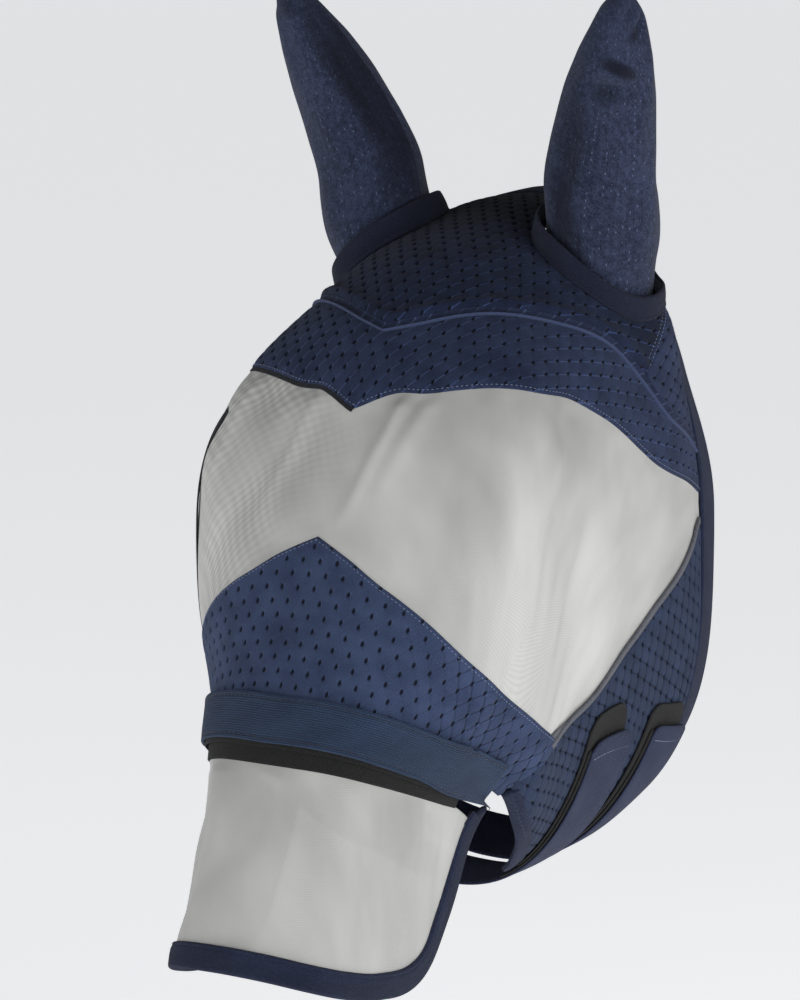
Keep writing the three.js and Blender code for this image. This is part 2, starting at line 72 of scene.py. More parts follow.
SPACER = 2.6 * MM               # thickness of the spacer-mesh panels
SEAM = 0.9 * MM                 # gap that the frame leaves between neighbouring panels
TUCK = 3.0 * MM                 # how far a panel runs on under the tape sewn over its edge
REAR_BINDING = 24 * MM
JAW_BINDING = 15 * MM
FRONT_BINDING = 9.5 * MM
FLAP_BINDING = 15 * MM
BINDING_LAYER = (-0.5 * MM, 3.1 * MM)   # layers are (inner, outer) heights above the form
PIPING_WIDTH = 8 * MM
HEM_LAP = 8 * MM                # how far the dark hem of the net runs on over it
CORD_INSET = 1.3 * MM           # from the piping's edge to the middle of its cord
BAND_WIDTH = 26.5 * MM
BAND_LAYER = (4.5 * MM, 6.6 * MM)
NOSE_HOOK_LAYER = (3.0 * MM, 4.2 * MM)
LOOP_LAYER = (3.0 * MM, 4.4 * MM)
HOOK_LAYER = (4.6 * MM, 5.7 * MM)
STRAP_LAYER = (5.9 * MM, 7.5 * MM)
STRAP_ROOT_LAYER = (3.4 * MM, 5.7 * MM)
FRONT_STRAP_WIDTH = 41 * MM
REAR_STRAP_WIDTH = 43 * MM
STRAP_HINGE = 1.098             # round-the-jaw place of a strap's fold line
SHEER_LAYER = (0.2 * MM, 0.75 * MM)
EDGE_DRAW = 8 * MM              # how far the rear edge is drawn in behind the ears
EAR_RISE = 8 * MM               # how far the cloth stands up beside the ears

SLOT_PITCH = (9.3 * MM, 8.05 * MM)      # spacer mesh: slots in a row, and rows
SLOT_SIZE = (0.95 * MM, 1.70 * MM)      # half width and half height of a slot
SLOT_DEPTH = 1.4 * MM
SLOT_LIP_SHIFT = 0.10              # the painted highlight on a slot's lip is this share of a pitch beside it

EAR_BASE = np.array([69.0, -10.0, -27.0]) * MM
EAR_TIP = np.array([110.0, -62.0, 130.0]) * MM
EAR_WALL = 1.5 * MM
EAR_DEPTH = 0.76                # depth of the ear cover over its width, away from the base
EAR_HOLE = 36.0 * MM
EAR_FOOT = 32.2 * MM            # half width of an ear cover where it goes into its collar
EAR_CUT = (0.098, 0.175, 0.0132)    # flat width, length and area of half an ear cover
COLLAR_CUT = 0.0036             # flat area of an ear collar
SMOOTH_MIDDLE = (0.035, 0.10)   # from the centre line, where a panel's creases begin and are full
EAR_BOW = {"left": 4.2 * MM, "right": 8.0 * MM}   # how far the middle of an ear leans inwards
COLLAR = {"bottom": 40 * MM, "top": 38.6 * MM, "wall": 2.4 * MM, "height": 14 * MM}
EAR_PROFILE = [                 # share of the ear's length, half width in mm
    (0.00, 32.2), (0.12, 32.6), (0.27, 33.5), (0.45, 31.0), (0.64, 26.5), (0.78, 21.5), (0.90, 14.6),
    (0.975, 9.5), (1.0, 8.5),
]

# ---------------------------------------------------------------- the head form

# Each section: along, top (y, z), jaw (y, z), half width, share of the height where it is widest,
# and superellipse exponents above and below that, along the height and the width. In mm.
SECTIONS = np.array([
    (0.00, 64, 4, 60, -356, 108, 0.57, 0.90, 0.98, 0.72, 0.68),
    (0.16, 0, 0, 14, -376, 115, 0.47, 0.88, 0.94, 0.80, 0.78),
    (0.34, -84, -24, -35, -384, 114, 0.38, 0.90, 0.93, 0.90, 0.86),
    (0.50, -148, -69, -68, -386, 111, 0.32, 0.90, 0.93, 0.92, 0.90),
    (0.66, -196, -140, -90, -382, 103, 0.31, 1.10, 0.84, 0.95, 0.88),
    (0.82, -230, -210, -90, -368, 81, 0.34, 1.15, 0.84, 0.95, 0.88),
    (1.00, -264, -274, -62, -348, 65, 0.40, 1.00, 0.82, 0.95, 0.85),
    (1.40, -313, -386, -125, -465, 55, 0.40, 0.85, 0.82, 0.95, 0.85),
])
STATIONS = SECTIONS[:, 0]
SECTION_VALUES = SECTIONS[:, 1:]
SECTION_SLOPES = np.gradient(SECTION_VALUES, STATIONS, axis=0)
EYE = {"along": 0.58, "round": 0.27, "lift": 14, "reach_along": 0.13, "reach_round": 0.11}
STEP = 0.004                    # step of the finite differences on the form
UNFOLD_STEPS = 160
UNFOLD_GRID = (81, 17)          # points of the grid that a piece is laid flat on
PATCH_GRID = (161, 33)          # points of the grid that a piece is measured on


def section_at(along):
    row = np.clip(np.searchsorted(STATIONS, along, side="right") - 1, 0, len(STATIONS) - 2)
    step = (STATIONS[row + 1] - STATIONS[row])[..., None]
    t = (along[..., None] - STATIONS[row][..., None]) / step
    start, end = SECTION_VALUES[row], SECTION_VALUES[row + 1]
    leaving, arriving = SECTION_SLOPES[row] * step, SECTION_SLOPES[row + 1] * step
    return (
        (2 * t**3 - 3 * t**2 + 1) * start
        + (t**3 - 2 * t**2 + t) * leaving
        + (3 * t**2 - 2 * t**3) * end
        + (t**3 - t**2) * arriving
    )


def form(along, around):
    """The points of the head form at arrays of places, in metres."""
    along, around = np.broadcast_arrays(np.asarray(along, float), np.asarray(around, float))
    values = np.moveaxis(section_at(along), -1, 0)
    top_y, top_z, jaw_y, jaw_z, half, widest, up_height, up_width, low_height, low_width = values
    cosine, sine = np.cos(np.pi * around), np.sin(np.pi * around)
    height = np.hypot(top_y - jaw_y, top_z - jaw_z)
    above = cosine > 0
    rise = np.where(
        above,
        widest * height * np.abs(cosine) ** up_height,
        -(1 - widest) * height * np.abs(cosine) ** low_height,
    )
    wrapped = np.abs((around + 1) % 2 - 1)
    eye = EYE["lift"] * np.exp(
        -(((along - EYE["along"]) / EYE["reach_along"]) ** 2)
        - ((wrapped - EYE["round"]) / EYE["reach_round"]) ** 2
    )
    reach = half * np.abs(sine) ** np.where(above, up_width, low_width) + eye * 0.9
    lift = rise - widest * height + eye * 0.35
    up_y, up_z = (top_y - jaw_y) / height, (top_z - jaw_z) / height
    return np.stack([reach * np.sign(sine), top_y + up_y * lift, top_z + up_z * lift], -1) * MM


def tangents(along, around):
    du = form(along + STEP, around) - form(along - STEP, around)
    dv = form(along, around + STEP) - form(along, around - STEP)
    return du / (2 * STEP), dv / (2 * STEP)


def unit(vectors):
    return vectors / np.maximum(np.linalg.norm(vectors, axis=-1, keepdims=True), 1e-12)


def outward(along, around):
    du, dv = tangents(along, around)
    return unit(np.cross(du, dv))


def blur_step(value, low, high):
    """0 below low, 1 above high and a smooth rise between."""
    t = np.clip((value - low) / (high - low), 0, 1)
    return t * t * (3 - 2 * t)


def slack(along, around):
    """How far worn cloth lies off the form: long shallow swells, a rise at the outer side of each
    ear, and the rear edge that its elastic draws in behind the ears."""
    turned = np.abs(around)
    swells = (
        0.55 * np.sin(21 * along + 9 * around + 0.6)
        + 0.40 * np.sin(34 * along - 15 * around + 2.1)
        + 0.30 * np.sin(11 * along + 27 * around + 4.0)
    )
    beside_ears = blur_step(turned, 0.08, 0.20) * (1 - blur_step(turned, 0.34, 0.47))
    drawn_in = EDGE_DRAW * (1 - blur_step(along, 0.0, 0.13)) * beside_ears
    at_ear = ((along - 0.15) / 0.07) ** 2 + ((turned - 0.285) / 0.06) ** 2
    return swells * MM - drawn_in + EAR_RISE * np.exp(-at_ear)


def surface(along, around, height):
    lifted = np.asarray(height) + slack(along, around)
    return form(along, around) + outward(along, around) * lifted[..., None]


def table_lookup(table, rows, columns, row, column):
    """Bilinear look-up in an evenly spaced table."""
    i = np.clip(row, rows[0], rows[-1] - 1e-9)
    j = np.clip(column, columns[0], columns[-1] - 1e-9)
    i = (i - rows[0]) / (rows[1] - rows[0])
    j = (j - columns[0]) / (columns[1] - columns[0])
    a = np.minimum(i.astype(int), len(rows) - 2)
    b = np.minimum(j.astype(int), len(columns) - 2)
    u, v = i - a, j - b
    return (
        table[a, b] * (1 - u) * (1 - v)
        + table[a + 1, b] * u * (1 - v)
        + table[a, b + 1] * (1 - u) * v
        + table[a + 1, b + 1] * u * v
    )


def running_lengths(points, axis):
    """How far each point of a grid is along its row or column."""
    steps = np.linalg.norm(np.diff(points, axis=axis), axis=-1)
    gone = np.cumsum(steps, axis=axis)
    pad = [(0, 0), (0, 0)]
    pad[axis] = (1, 0)
    return np.pad(gone, pad)


FORM_ALONG = np.linspace(0, 1.42, 285)
FORM_ROUND = np.linspace(0, 1.25, 251)
FORM_GRID = form(FORM_ALONG[:, None], FORM_ROUND[None, :])
FORM_DOWN = running_lengths(FORM_GRID, 1)
FORM_ON = running_lengths(FORM_GRID, 0)

# ---------------------------------------------------------------- seam lines on the form
#
# A line is a function of t from 0 to 1 that gives [along, round] on the left side.


def line(points):
    """A smooth curve through places on the form."""
    given = np.array(points, float)
    spans = len(given) - 1
    led = np.vstack([2 * given[0] - given[1], given, 2 * given[-1] - given[-2]])

    def at(t):
        u = np.clip(t, 0, 1) * spans
        span = np.minimum(u.astype(int), spans - 1)
        w = (u - span)[..., None]
        a, b, c, d = (led[span + k] for k in range(4))
        return b + 0.5 * w * (c - a + w * (2 * a - 5 * b + 4 * c - d + w * (3 * (b - c) + d - a)))

    return at


def drawn(points, samples=1200):
    """A smooth curve through places on the form that is drawn in lengths round the form, so that
    it has no kink where the side turns under to the jaw."""
    given = np.array(points, float)
    down = table_lookup(FORM_DOWN, FORM_ALONG, FORM_ROUND, given[:, 0], given[:, 1])
    t = np.linspace(0, 1, samples)
    along, lengths = line(np.stack([given[:, 0], down], -1))(t).T
    scale = [
        table_lookup(FORM_DOWN, FORM_ALONG, FORM_ROUND, np.full(len(FORM_ROUND), place), FORM_ROUND)
        for place in along
    ]
    turned = np.array([np.interp(x, row, FORM_ROUND) for x, row in zip(lengths, scale)])
    return lambda s: np.stack([np.interp(s, t, along), np.interp(s, t, turned)], -1)


def beside(path, distance):
    """The same line moved sideways over the form: forward where it runs down, up where it runs on."""

    def at(t):
        t = np.asarray(t, float)
        place, ahead, back = path(t), path(t + 0.002), path(t - 0.002)
        da, dr = np.moveaxis(ahead - back, -1, 0)
        du, dv = tangents(place[..., 0], place[..., 1])
        e, f, g = ((x * y).sum(-1) for x, y in ((du, du), (du, dv), (dv, dv)))
        p, q = f * da + g * dr, -(e * da + f * dr)
        length = np.sqrt(np.maximum(e * p * p + 2 * f * p * q + g * q * q, 1e-18))
        move = distance(t) if callable(distance) else distance
        return place + np.stack([p, q], -1) * (move / length)[..., None]

    return at


def part(path, start, end):
    return lambda t: path(start + (end - start) * np.asarray(t, float))


def even(path, samples=600):
    """The same line with t in proportion to its length over the form."""
    t = np.linspace(0, 1, samples)
    places = path(t)
    steps = np.linalg.norm(np.diff(form(places[:, 0], places[:, 1]), axis=0), axis=1)
    gone = np.concatenate([[0], np.cumsum(steps)])
    return lambda s: path(np.interp(np.clip(s, 0, 1) * gone[-1], gone, t))


def run_length(path):
    places = path(np.linspace(0, 1, 400))
    return np.linalg.norm(np.diff(form(places[:, 0], places[:, 1]), axis=0), axis=1).sum()


OUTLINE_POINTS = [
    (0, 0), (0, 0.12), (0, 0.25), (0, 0.38), (0, 0.50), (0, 0.61), (0.002, 0.70), (0.022, 0.78),
    (0.065, 0.84), (0.14, 0.885), (0.25, 0.905), (0.36, 0.912), (0.46, 0.908), (0.55, 0.878),
    (0.628, 0.822), (0.695, 0.768), (0.748, 0.722), (0.800, 0.655),
]
OUTLINE = line(OUTLINE_POINTS)


def outline_at(index):
    return index / (len(OUTLINE_POINTS) - 1)


CROWN_END = outline_at(2.05)
REAR_END = outline_at(7.4)
JAW_START = outline_at(9)
JAW_END = outline_at(12.4)
FRONT_END = outline_at(17)
CHEEK_START = outline_at(4.95)


def binding_width(t):
    narrowed = np.clip((t - REAR_END) / (JAW_START - REAR_END), 0, 1)
    at_front = np.clip((t - JAW_END) / (outline_at(14) - JAW_END), 0, 1)
    behind = REAR_BINDING + (JAW_BINDING - REAR_BINDING) * narrowed
    return behind + (FRONT_BINDING - JAW_BINDING) * at_front


PIPING = line([
    (0.463, 0), (0.440, 0.059), (0.388, 0.154), (0.340, 0.224), (0.278, 0.294), (0.233, 0.357),
    (0.180, 0.404), (0.076, 0.428),
])
BROW_EDGE = line([
    (0.568, 0), (0.545, 0.055), (0.530, 0.124), (0.470, 0.259), (0.408, 0.326), (0.357, 0.377),
    (0.275, 0.438), (0.205, 0.463), (0.076, 0.469),
])
NOSE_POINTS = [
    (0.71, 0), (0.73, 0.055), (0.75, 0.14), (0.763, 0.30), (0.753, 0.43), (0.72, 0.535),
    (0.65, 0.605), (0.575, 0.655),
]
NOSE_EDGE = drawn(NOSE_POINTS)
CHEEK_EDGE = line([
    (0.077, 0.492), (0.122, 0.511), (0.231, 0.561), (0.316, 0.602), (0.444, 0.641), (0.576, 0.651),
    (0.680, 0.648), (0.770, 0.648),
])
TRIM_EDGE = line([
    (0.077, 0.483), (0.107, 0.495), (0.217, 0.541), (0.291, 0.576), (0.417, 0.614), (0.526, 0.625),
    (0.627, 0.616),
])
EYE_LOWER = drawn([
    *NOSE_POINTS[:-1], (0.585, 0.641), (0.526, 0.642), (0.435, 0.632), (0.308, 0.592),
    (0.224, 0.552), (0.117, 0.503), (0.078, 0.486),
])
BAND = line([
    (0.948, 0), (0.945, 0.090), (0.943, 0.170), (0.941, 0.250), (0.938, 0.340), (0.928, 0.440),
    (0.902, 0.530), (0.860, 0.598), (0.800, 0.652),
])
FLAP_POINTS = [
    (1.387, 0), (1.388, 0.12), (1.390, 0.25), (1.388, 0.36), (1.378, 0.46), (1.350, 0.545),
    (1.300, 0.600), (1.230, 0.617), (1.150, 0.620), (1.080, 0.625), (1.020, 0.632),
]
FLAP_EDGE = line(FLAP_POINTS)
FLAP_BOUND = line([*FLAP_POINTS, (0.985, 0.634)])
FRONT_STRAP = line([
    (0.365, 0.683), (0.372, 0.74), (0.378, 0.82), (0.378, 0.92), (0.376, 1.0), (0.376, 1.2),
])
REAR_STRAP = line([
    (0.134, 0.683), (0.152, 0.74), (0.168, 0.80), (0.176, 0.90), (0.178, 1.0), (0.178, 1.2),
])

# ---------------------------------------------------------------- cloth on the form


def unrolled(along, around):
    """Flat cloth coordinates of places: distance from the centre line, and along from the rear."""
    down = table_lookup(FORM_DOWN, FORM_ALONG, FORM_ROUND, along, np.abs(around))
    on = table_lookup(FORM_ON, FORM_ALONG, FORM_ROUND, along, np.abs(around))
    return np.stack([down * np.sign(around), on], -1)


def unfold(points, guess):
    """Flat coordinates of a grid of points that keep the distances between its neighbours."""
    rows, columns = points.shape[:2]
    index = np.arange(rows * columns).reshape(rows, columns)
    near = (
        (index[1:], index[:-1]), (index[:, 1:], index[:, :-1]),
        (index[1:, 1:], index[:-1, :-1]), (index[1:, :-1], index[:-1, 1:]),
    )
    first = np.concatenate([a.ravel() for a, _ in near])
    second = np.concatenate([b.ravel() for _, b in near])
    solid = points.reshape(-1, 3)
    length = np.linalg.norm(solid[first] - solid[second], axis=1)
    count, hold = rows * columns, 1e-4
    net = np.eye(count) * hold
    np.add.at(net, (first, first), 1)
    np.add.at(net, (second, second), 1)
    np.add.at(net, (first, second), -1)
    np.add.at(net, (second, first), -1)
    answer = np.linalg.inv(net)
    start = flat = guess.reshape(-1, 2)
    for _ in range(UNFOLD_STEPS):
        run = flat[first] - flat[second]
        run = run * (length / np.maximum(np.linalg.norm(run, axis=1), 1e-9))[:, None]
        pull = start * hold
        for axis in range(2):
            pull[:, axis] += np.bincount(first, run[:, axis], count)
            pull[:, axis] -= np.bincount(second, run[:, axis], count)
        flat = answer @ pull
    return flat.reshape(rows, columns, 2)


class Patch:
    """The cloth between two lines: where s and t fall on the form, and how far from its edges."""

    def __init__(self, upper, lower, side):
        self.upper, self.lower, self.side = even(upper), even(lower), side
        middle = np.zeros(1)
        self.upper_start, self.lower_start = self.upper(middle)[0, 1], self.lower(middle)[0, 1]
        self.s_steps, self.t_steps = (np.linspace(0, 1, count) for count in PATCH_GRID)
        s, t = np.meshgrid(self.s_steps, self.t_steps, indexing="ij")
        points = form(*self.places(s.ravel(), t.ravel())).reshape(*PATCH_GRID, 3)
        self.down, self.across = running_lengths(points, 1), running_lengths(points, 0)
        self.depth, self.width = self.down[:, -1].max(), self.across[-1].max()
        self.area = self.across[-1].mean() * self.down[:, -1].mean()

    def lay_flat(self):
        """Works out the cloth coordinates of a piece cut from patterned cloth."""
        self.cloth_grid = [np.linspace(0, 1, count) for count in UNFOLD_GRID]
        s, t = np.meshgrid(*self.cloth_grid, indexing="ij")
        along, around = self.places(s.ravel(), t.ravel())
        points = form(along, around).reshape(*UNFOLD_GRID, 3)
        self.cloth = unfold(points, unrolled(along, around).reshape(*UNFOLD_GRID, 2))

    def on_cloth(self, s, t):
        flat = [table_lookup(self.cloth[..., k], *self.cloth_grid, s, t) for k in range(2)]
        return np.stack(flat, -1)

    def places(self, s, t):
        across = 2 * s - 1 if self.side == 0 else s
        sign = np.where(across < 0, -1, 1) if self.side == 0 else self.side
        a, b = self.upper(np.abs(across)), self.lower(np.abs(across))
        at = a + (b - a) * t[..., None]
        if self.side == 0:
            astray = self.upper_start + (self.lower_start - self.upper_start) * t
            at[..., 1] -= astray * np.clip(1 - np.abs(across) / 0.05, 0, 1)
        return at[..., 0], at[..., 1] * sign

    def spots(self, s, t):
        spots = Spots()
        spots.s, spots.t = s, t
        spots.along, spots.around = self.places(s, t)
        grid = (self.s_steps, self.t_steps)
        end = np.ones_like(s)
        spots.from_upper = table_lookup(self.down, *grid, s, t)
        spots.from_lower = table_lookup(self.down, *grid, s, end) - spots.from_upper
        spots.from_start = table_lookup(self.across, *grid, s, t)
        spots.from_end = table_lookup(self.across, *grid, end, t) - spots.from_start
        return spots


class Spots:
    """The places of a panel's points, as its layers ask for them."""


def link(name, bm):
    mesh = bpy.data.meshes.new(name)
    bm.to_mesh(mesh)
    bm.free()
    piece = bpy.data.objects.new(name, mesh)
    bpy.context.scene.collection.objects.link(piece)
    return piece


def coordinates(mesh):
    found = np.zeros(len(mesh.vertices) * 3, np.float32)
    mesh.vertices.foreach_get("co", found)
    return found.reshape(-1, 3).astype(float)


def set_coordinates(mesh, points):
    mesh.vertices.foreach_set("co", points.astype(np.float32).ravel())
    mesh.update()


def set_flat(mesh, uv):
    layer = mesh.uv_layers.new(name="flat")
    corners = np.zeros(len(mesh.loops), np.int32)
    mesh.loops.foreach_get("vertex_index", corners)
    layer.data.foreach_set("uv", uv[corners].astype(np.float32).ravel())


def face_outwards(mesh, points):
    """Turns every face of a closed mesh round if its volume comes out negative."""
    mesh.calc_loop_triangles()
    corners = np.zeros(len(mesh.loop_triangles) * 3, np.int32)
    mesh.loop_triangles.foreach_get("vertices", corners)
    a, b, c = points[corners.reshape(-1, 3)].transpose(1, 0, 2)
    if (a * np.cross(b, c)).sum() < 0:
        mesh.flip_normals()


def smooth(piece):
    piece.data.polygons.foreach_set("use_smooth", [True] * len(piece.data.polygons))
    return piece


def shell(name, columns, rows, place, flat, keep=None, wrap=False):
    """A closed thin body from a flat grid with a skin on each side. place(s, t, skin) gives the
    points of its inner (0) and outer (1) skin, flat(s, t) its cloth coordinates, and keep(s, t)
    is negative where it is cut away. wrap joins its last column to its first."""
    bm = bmesh.new()
    centred = Matrix.Translation((0.5, 0.5, 0))
    bmesh.ops.create_grid(bm, x_segments=columns, y_segments=rows, size=0.5, matrix=centred)
    if keep is not None:
        cut_away(bm, keep)
    bmesh.ops.solidify(bm, geom=bm.faces[:], thickness=1.0)
    piece = link(name, bm)
    at = coordinates(piece.data)
    s, t = np.clip(at[:, 0], 0, 1), np.clip(at[:, 1], 0, 1)
    skin = (np.abs(at[:, 2]) > 0.5).astype(int)
    points = place(s, t, skin)
    set_coordinates(piece.data, points)
    set_flat(piece.data, flat(s, t))
    face_outwards(piece.data, points)
    if wrap:
        bm = bmesh.new()
        bm.from_mesh(piece.data)
        bmesh.ops.remove_doubles(bm, verts=bm.verts[:], dist=0.01 * MM)
        doubled = [f for f in bm.faces if all(len(e.link_faces) > 2 for e in f.edges)]
        bmesh.ops.delete(bm, geom=doubled, context="FACES_ONLY")
        bm.to_mesh(piece.data)
        bm.free()
    return smooth(piece)


def cut_away(bm, keep):
    """Deletes the faces of a unit grid where keep is negative, and pulls the edge onto its zero."""
    verts = list(bm.verts)
    at = np.array([v.co[:2] for v in verts])
    value = keep(at[:, 0], at[:, 1])
    inside = {v for v, x in zip(verts, value) if x < 0}
    gone = [f for f in bm.faces if all(v in inside for v in f.verts)]
    bmesh.ops.delete(bm, geom=gone, context="FACES")
    left = [v for v in bm.verts if v in inside]
    if not left:
        return
    at = np.array([v.co[:2] for v in left])
    nudge = 1e-4
    for _ in range(4):
        here = keep(at[:, 0], at[:, 1])
        ds = (keep(at[:, 0] + nudge, at[:, 1]) - here) / nudge
        dt = (keep(at[:, 0], at[:, 1] + nudge) - here) / nudge
        scale = here / np.maximum(ds * ds + dt * dt, 1e-12)
        at -= np.stack([ds * scale, dt * scale], -1)
    for vert, (s, t) in zip(left, at):
        vert.co = (s, t, 0)


CUT_SIZES = {}                  # a piece's flat width, length and area, by its name


def crowded(t, share):
    """t with its steps drawn together towards both ends."""
    return t - share * np.sin(2 * np.pi * t) / (2 * np.pi)


def panel(name, upper, lower, cell, layers, side=0, flat="form", turn=0.0, keep=None, crowd=0.0):
    """Cloth between two lines. cell is the size of its mesh, and layers(spots) the heights of its
    two skins. Its cloth coordinates follow the form, or the piece itself where flat is strip."""
    patch = Patch(upper, lower, side)
    if flat == "cloth":
        patch.lay_flat()
    columns = max(2, round(patch.width / cell[0]))
    rows = max(2, round(patch.depth / cell[1]))
    cosine, sine = math.cos(turn), math.sin(turn)

    def cloth(s, t):
        spots = patch.spots(s, crowded(t, crowd))
        if flat == "strip":
            uv = np.stack([spots.from_start, spots.from_upper], -1)
        elif flat == "cloth":
            uv = patch.on_cloth(s, crowded(t, crowd))
        else:
            uv = unrolled(spots.along, spots.around)
        spots.uv = uv @ np.array([[cosine, -sine], [sine, cosine]])
        return spots

    def place(s, t, skin):
        spots = cloth(s, t)
        inner, outer = layers(spots)
        return surface(spots.along, spots.around, np.where(skin == 1, outer, inner))

    cut = None
    if keep is not None:
        cut = lambda s, t: keep(patch.spots(np.clip(s, 0, 1), crowded(np.clip(t, 0, 1), crowd)))
    piece = shell(name, columns, rows, place, lambda s, t: cloth(s, t).uv, cut)
    CUT_SIZES[name] = (patch.width, patch.depth, patch.area)
    return piece


def strip(name, path, start, end, cell, layers, **options):
    return panel(name, beside(path, start), beside(path, end), cell, layers, **options)


# ---------------------------------------------------------------- heights across a piece


def roundness(distance, radius):
    """0 at an edge and 1 past the radius, along a quarter circle."""
    gone = np.clip(1 - distance / radius, 0, 1)
    return np.sqrt(np.maximum(1 - gone * gone, 0))


def groove(distance, at, width, depth):
    return -depth * np.exp(-(((distance - at) / width) ** 2))


def slots(uv):
    """How deep the spacer mesh dips: 1 in the middle of a slot, 0 between slots."""
    p, q = uv[..., 0] / SLOT_PITCH[0], uv[..., 1] / SLOT_PITCH[1]
    dip = np.zeros_like(p)
    for shift_p, shift_q in ((0.0, 0.0), (0.5, 1.0)):
        across = (p - shift_p - np.round(p - shift_p)) * SLOT_PITCH[0] / SLOT_SIZE[0]
        down = (q - shift_q - 2 * np.round((q - shift_q) / 2)) * SLOT_PITCH[1] / SLOT_SIZE[1]
        dip = np.maximum(dip, np.exp(-((across * across + down * down) ** 1.3)))
    return dip


def scales(uv):
    """The diamonds between slots: 1 in a diamond's middle, 0 along the creases."""
    p, q = uv[..., 0] / SLOT_PITCH[0], uv[..., 1] / SLOT_PITCH[1]
    first, second = p - q / 2, p + q / 2
    edge = np.minimum(np.abs(first - np.round(first)), np.abs(second - np.round(second)))
    return 1 - np.exp(-((edge / 0.11) ** 2))


def spacer_layers(
    rolled=1.6 * MM, hem=0.0, puff=0.35 * MM, swell=0.0, sunk=0.0, smooth_middle=(-2.0, -1.0),
):
    """Spacer mesh: two knit skins with slots in the outer one, rolled at its edges. puff is the
    depth of the creases between slots, swell a roll along the lower edge, and sunk how far the
    piece's two ends pass under their neighbours. Creases begin at smooth_middle."""

    def layers(spots):
        ends = np.minimum(spots.from_start, spots.from_end)
        edge = np.minimum(np.minimum(spots.from_upper, spots.from_lower), ends)
        inland = blur_step(edge, 2.0 * MM, 5.0 * MM)
        puffed = puff * blur_step(np.abs(spots.uv[..., 0]), *smooth_middle)
        relief = -SLOT_DEPTH * slots(spots.uv) + puffed * (scales(spots.uv) - 1)
        body = SPACER - 0.5 * MM * (1 - blur_step(edge, 1.0 * MM, 7.0 * MM))
        outer = body * (0.45 + 0.55 * roundness(edge, rolled)) + relief * inland
        if hem:
            outer = outer + groove(spots.from_lower, hem, 0.5 * MM, 0.3 * MM)
        shift = swell * np.exp(-(((spots.from_lower - 5 * MM) / (4.5 * MM)) ** 2))
        shift = shift - sunk * (1 - blur_step(ends, 3.0 * MM, 7.0 * MM))
        inner = 0.35 * SPACER * (1 - roundness(edge, rolled))
        return inner + shift, outer + shift

    return layers


def tape_layers(layer, rolled, grooves=(), crown=0.0, ends=True):
    """A sewn tape or binding: round edges, a slight crown and pulled-down lines of stitching.
    grooves are distances from its upper edge, or with a minus sign from its lower edge."""

    def layers(spots):
        edge = np.minimum(spots.from_upper, spots.from_lower)
        if ends:
            edge = np.minimum(edge, np.minimum(spots.from_start, spots.from_end))
        middle = (layer[0] + layer[1]) / 2
        half = (layer[1] - layer[0]) / 2
        bulge = half * roundness(edge, rolled)
        outer = middle + bulge + crown * np.sin(np.pi * spots.t)
        inner = middle - bulge
        for at in grooves:
            distance = spots.from_upper if at > 0 else spots.from_lower
            outer = outer + groove(distance, abs(at), 0.7 * MM, 0.45 * MM)
        return inner, outer

    return layers


# ---------------------------------------------------------------- finishes
#
# Wire stands for an output socket, so that a material's sums are written as Python expressions.


class Wire:
    def __init__(self, finish, socket):
        self.finish, self.socket = finish, socket

    def __add__(self, other):
        return self.finish.sum("ADD", self, other)

    def __sub__(self, other):
        return self.finish.sum("SUBTRACT", self, other)

    def __rsub__(self, other):
        return self.finish.sum("SUBTRACT", other, self)

    def __mul__(self, other):
        return self.finish.sum("MULTIPLY", self, other)

    def __truediv__(self, other):
        return self.finish.sum("DIVIDE", self, other)

    def __abs__(self):
        return self.finish.sum("ABSOLUTE", self)

    __radd__ = __add__
    __rmul__ = __mul__


class Finish:
    """A material, made node by node."""

    def __init__(self, name, **fixed):
        self.material = bpy.data.materials.new(name)
        self.material.use_nodes = True
        self.tree = self.material.node_tree
        self.shader = self.tree.nodes["Principled BSDF"]
        for socket, value in fixed.items():
            self.shader.inputs[socket.replace("_", " ")].default_value = value

    def node(self, kind, settings=None, inputs=None, output=0):
        made = self.tree.nodes.new("ShaderNode" + kind)
        for name, value in (settings or {}).items():
            setattr(made, name, value)
        for socket, value in (inputs or {}).items():
            self.feed(made.inputs[socket], value)
        return Wire(self, made.outputs[output])

    def feed(self, socket, value):
        if isinstance(value, Wire):
            self.tree.links.new(value.socket, socket)
        else:
            socket.default_value = value

    def sum(self, operation, *values):
        inputs = dict(enumerate(values))
        return self.node("Math", {"operation": operation}, inputs)

    def set(self, **sockets):
        for socket, value in sockets.items():
            self.feed(self.shader.inputs[socket.replace("_", " ")], value)

    def least(self, *values):
        return self.sum("MINIMUM", *values)

    def most(self, *values):
        return self.sum("MAXIMUM", *values)

    def sine(self, value):
        return self.sum("SINE", value)

    def fraction(self, value):
        """Distance of a value from the nearest whole number."""
        return abs(value - self.sum("ROUND", value))

    def rise(self, value, low, high):
        settings = {"interpolation_type": "SMOOTHSTEP"}
        return self.node("MapRange", settings, {"Value": value, "From Min": low, "From Max": high})

    def flat(self):
        """The piece's own cloth coordinates, in metres."""
        uv = self.node("UVMap", {"uv_map": "flat"})
        split = self.node("SeparateXYZ", inputs={0: uv})
        return uv, split, Wire(self, split.socket.node.outputs[1])

    def place(self):
        return self.node("TexCoord", output="Object")

    def noise(self, vector, scale, detail=3.0, roughness=0.55):
        inputs = {"Vector": vector, "Scale": scale, "Detail": detail, "Roughness": roughness}
        return self.node("TexNoise", inputs=inputs)

    def blend(self, share, dark, light):
        inputs = {"Factor": share, 6: dark, 7: light}
        return self.node("Mix", {"data_type": "RGBA"}, inputs, output=2)

    def relief(self, height, distance, strength=1.0):
        inputs = {"Height": height, "Distance": distance, "Strength": strength}
        return self.node("Bump", inputs=inputs)


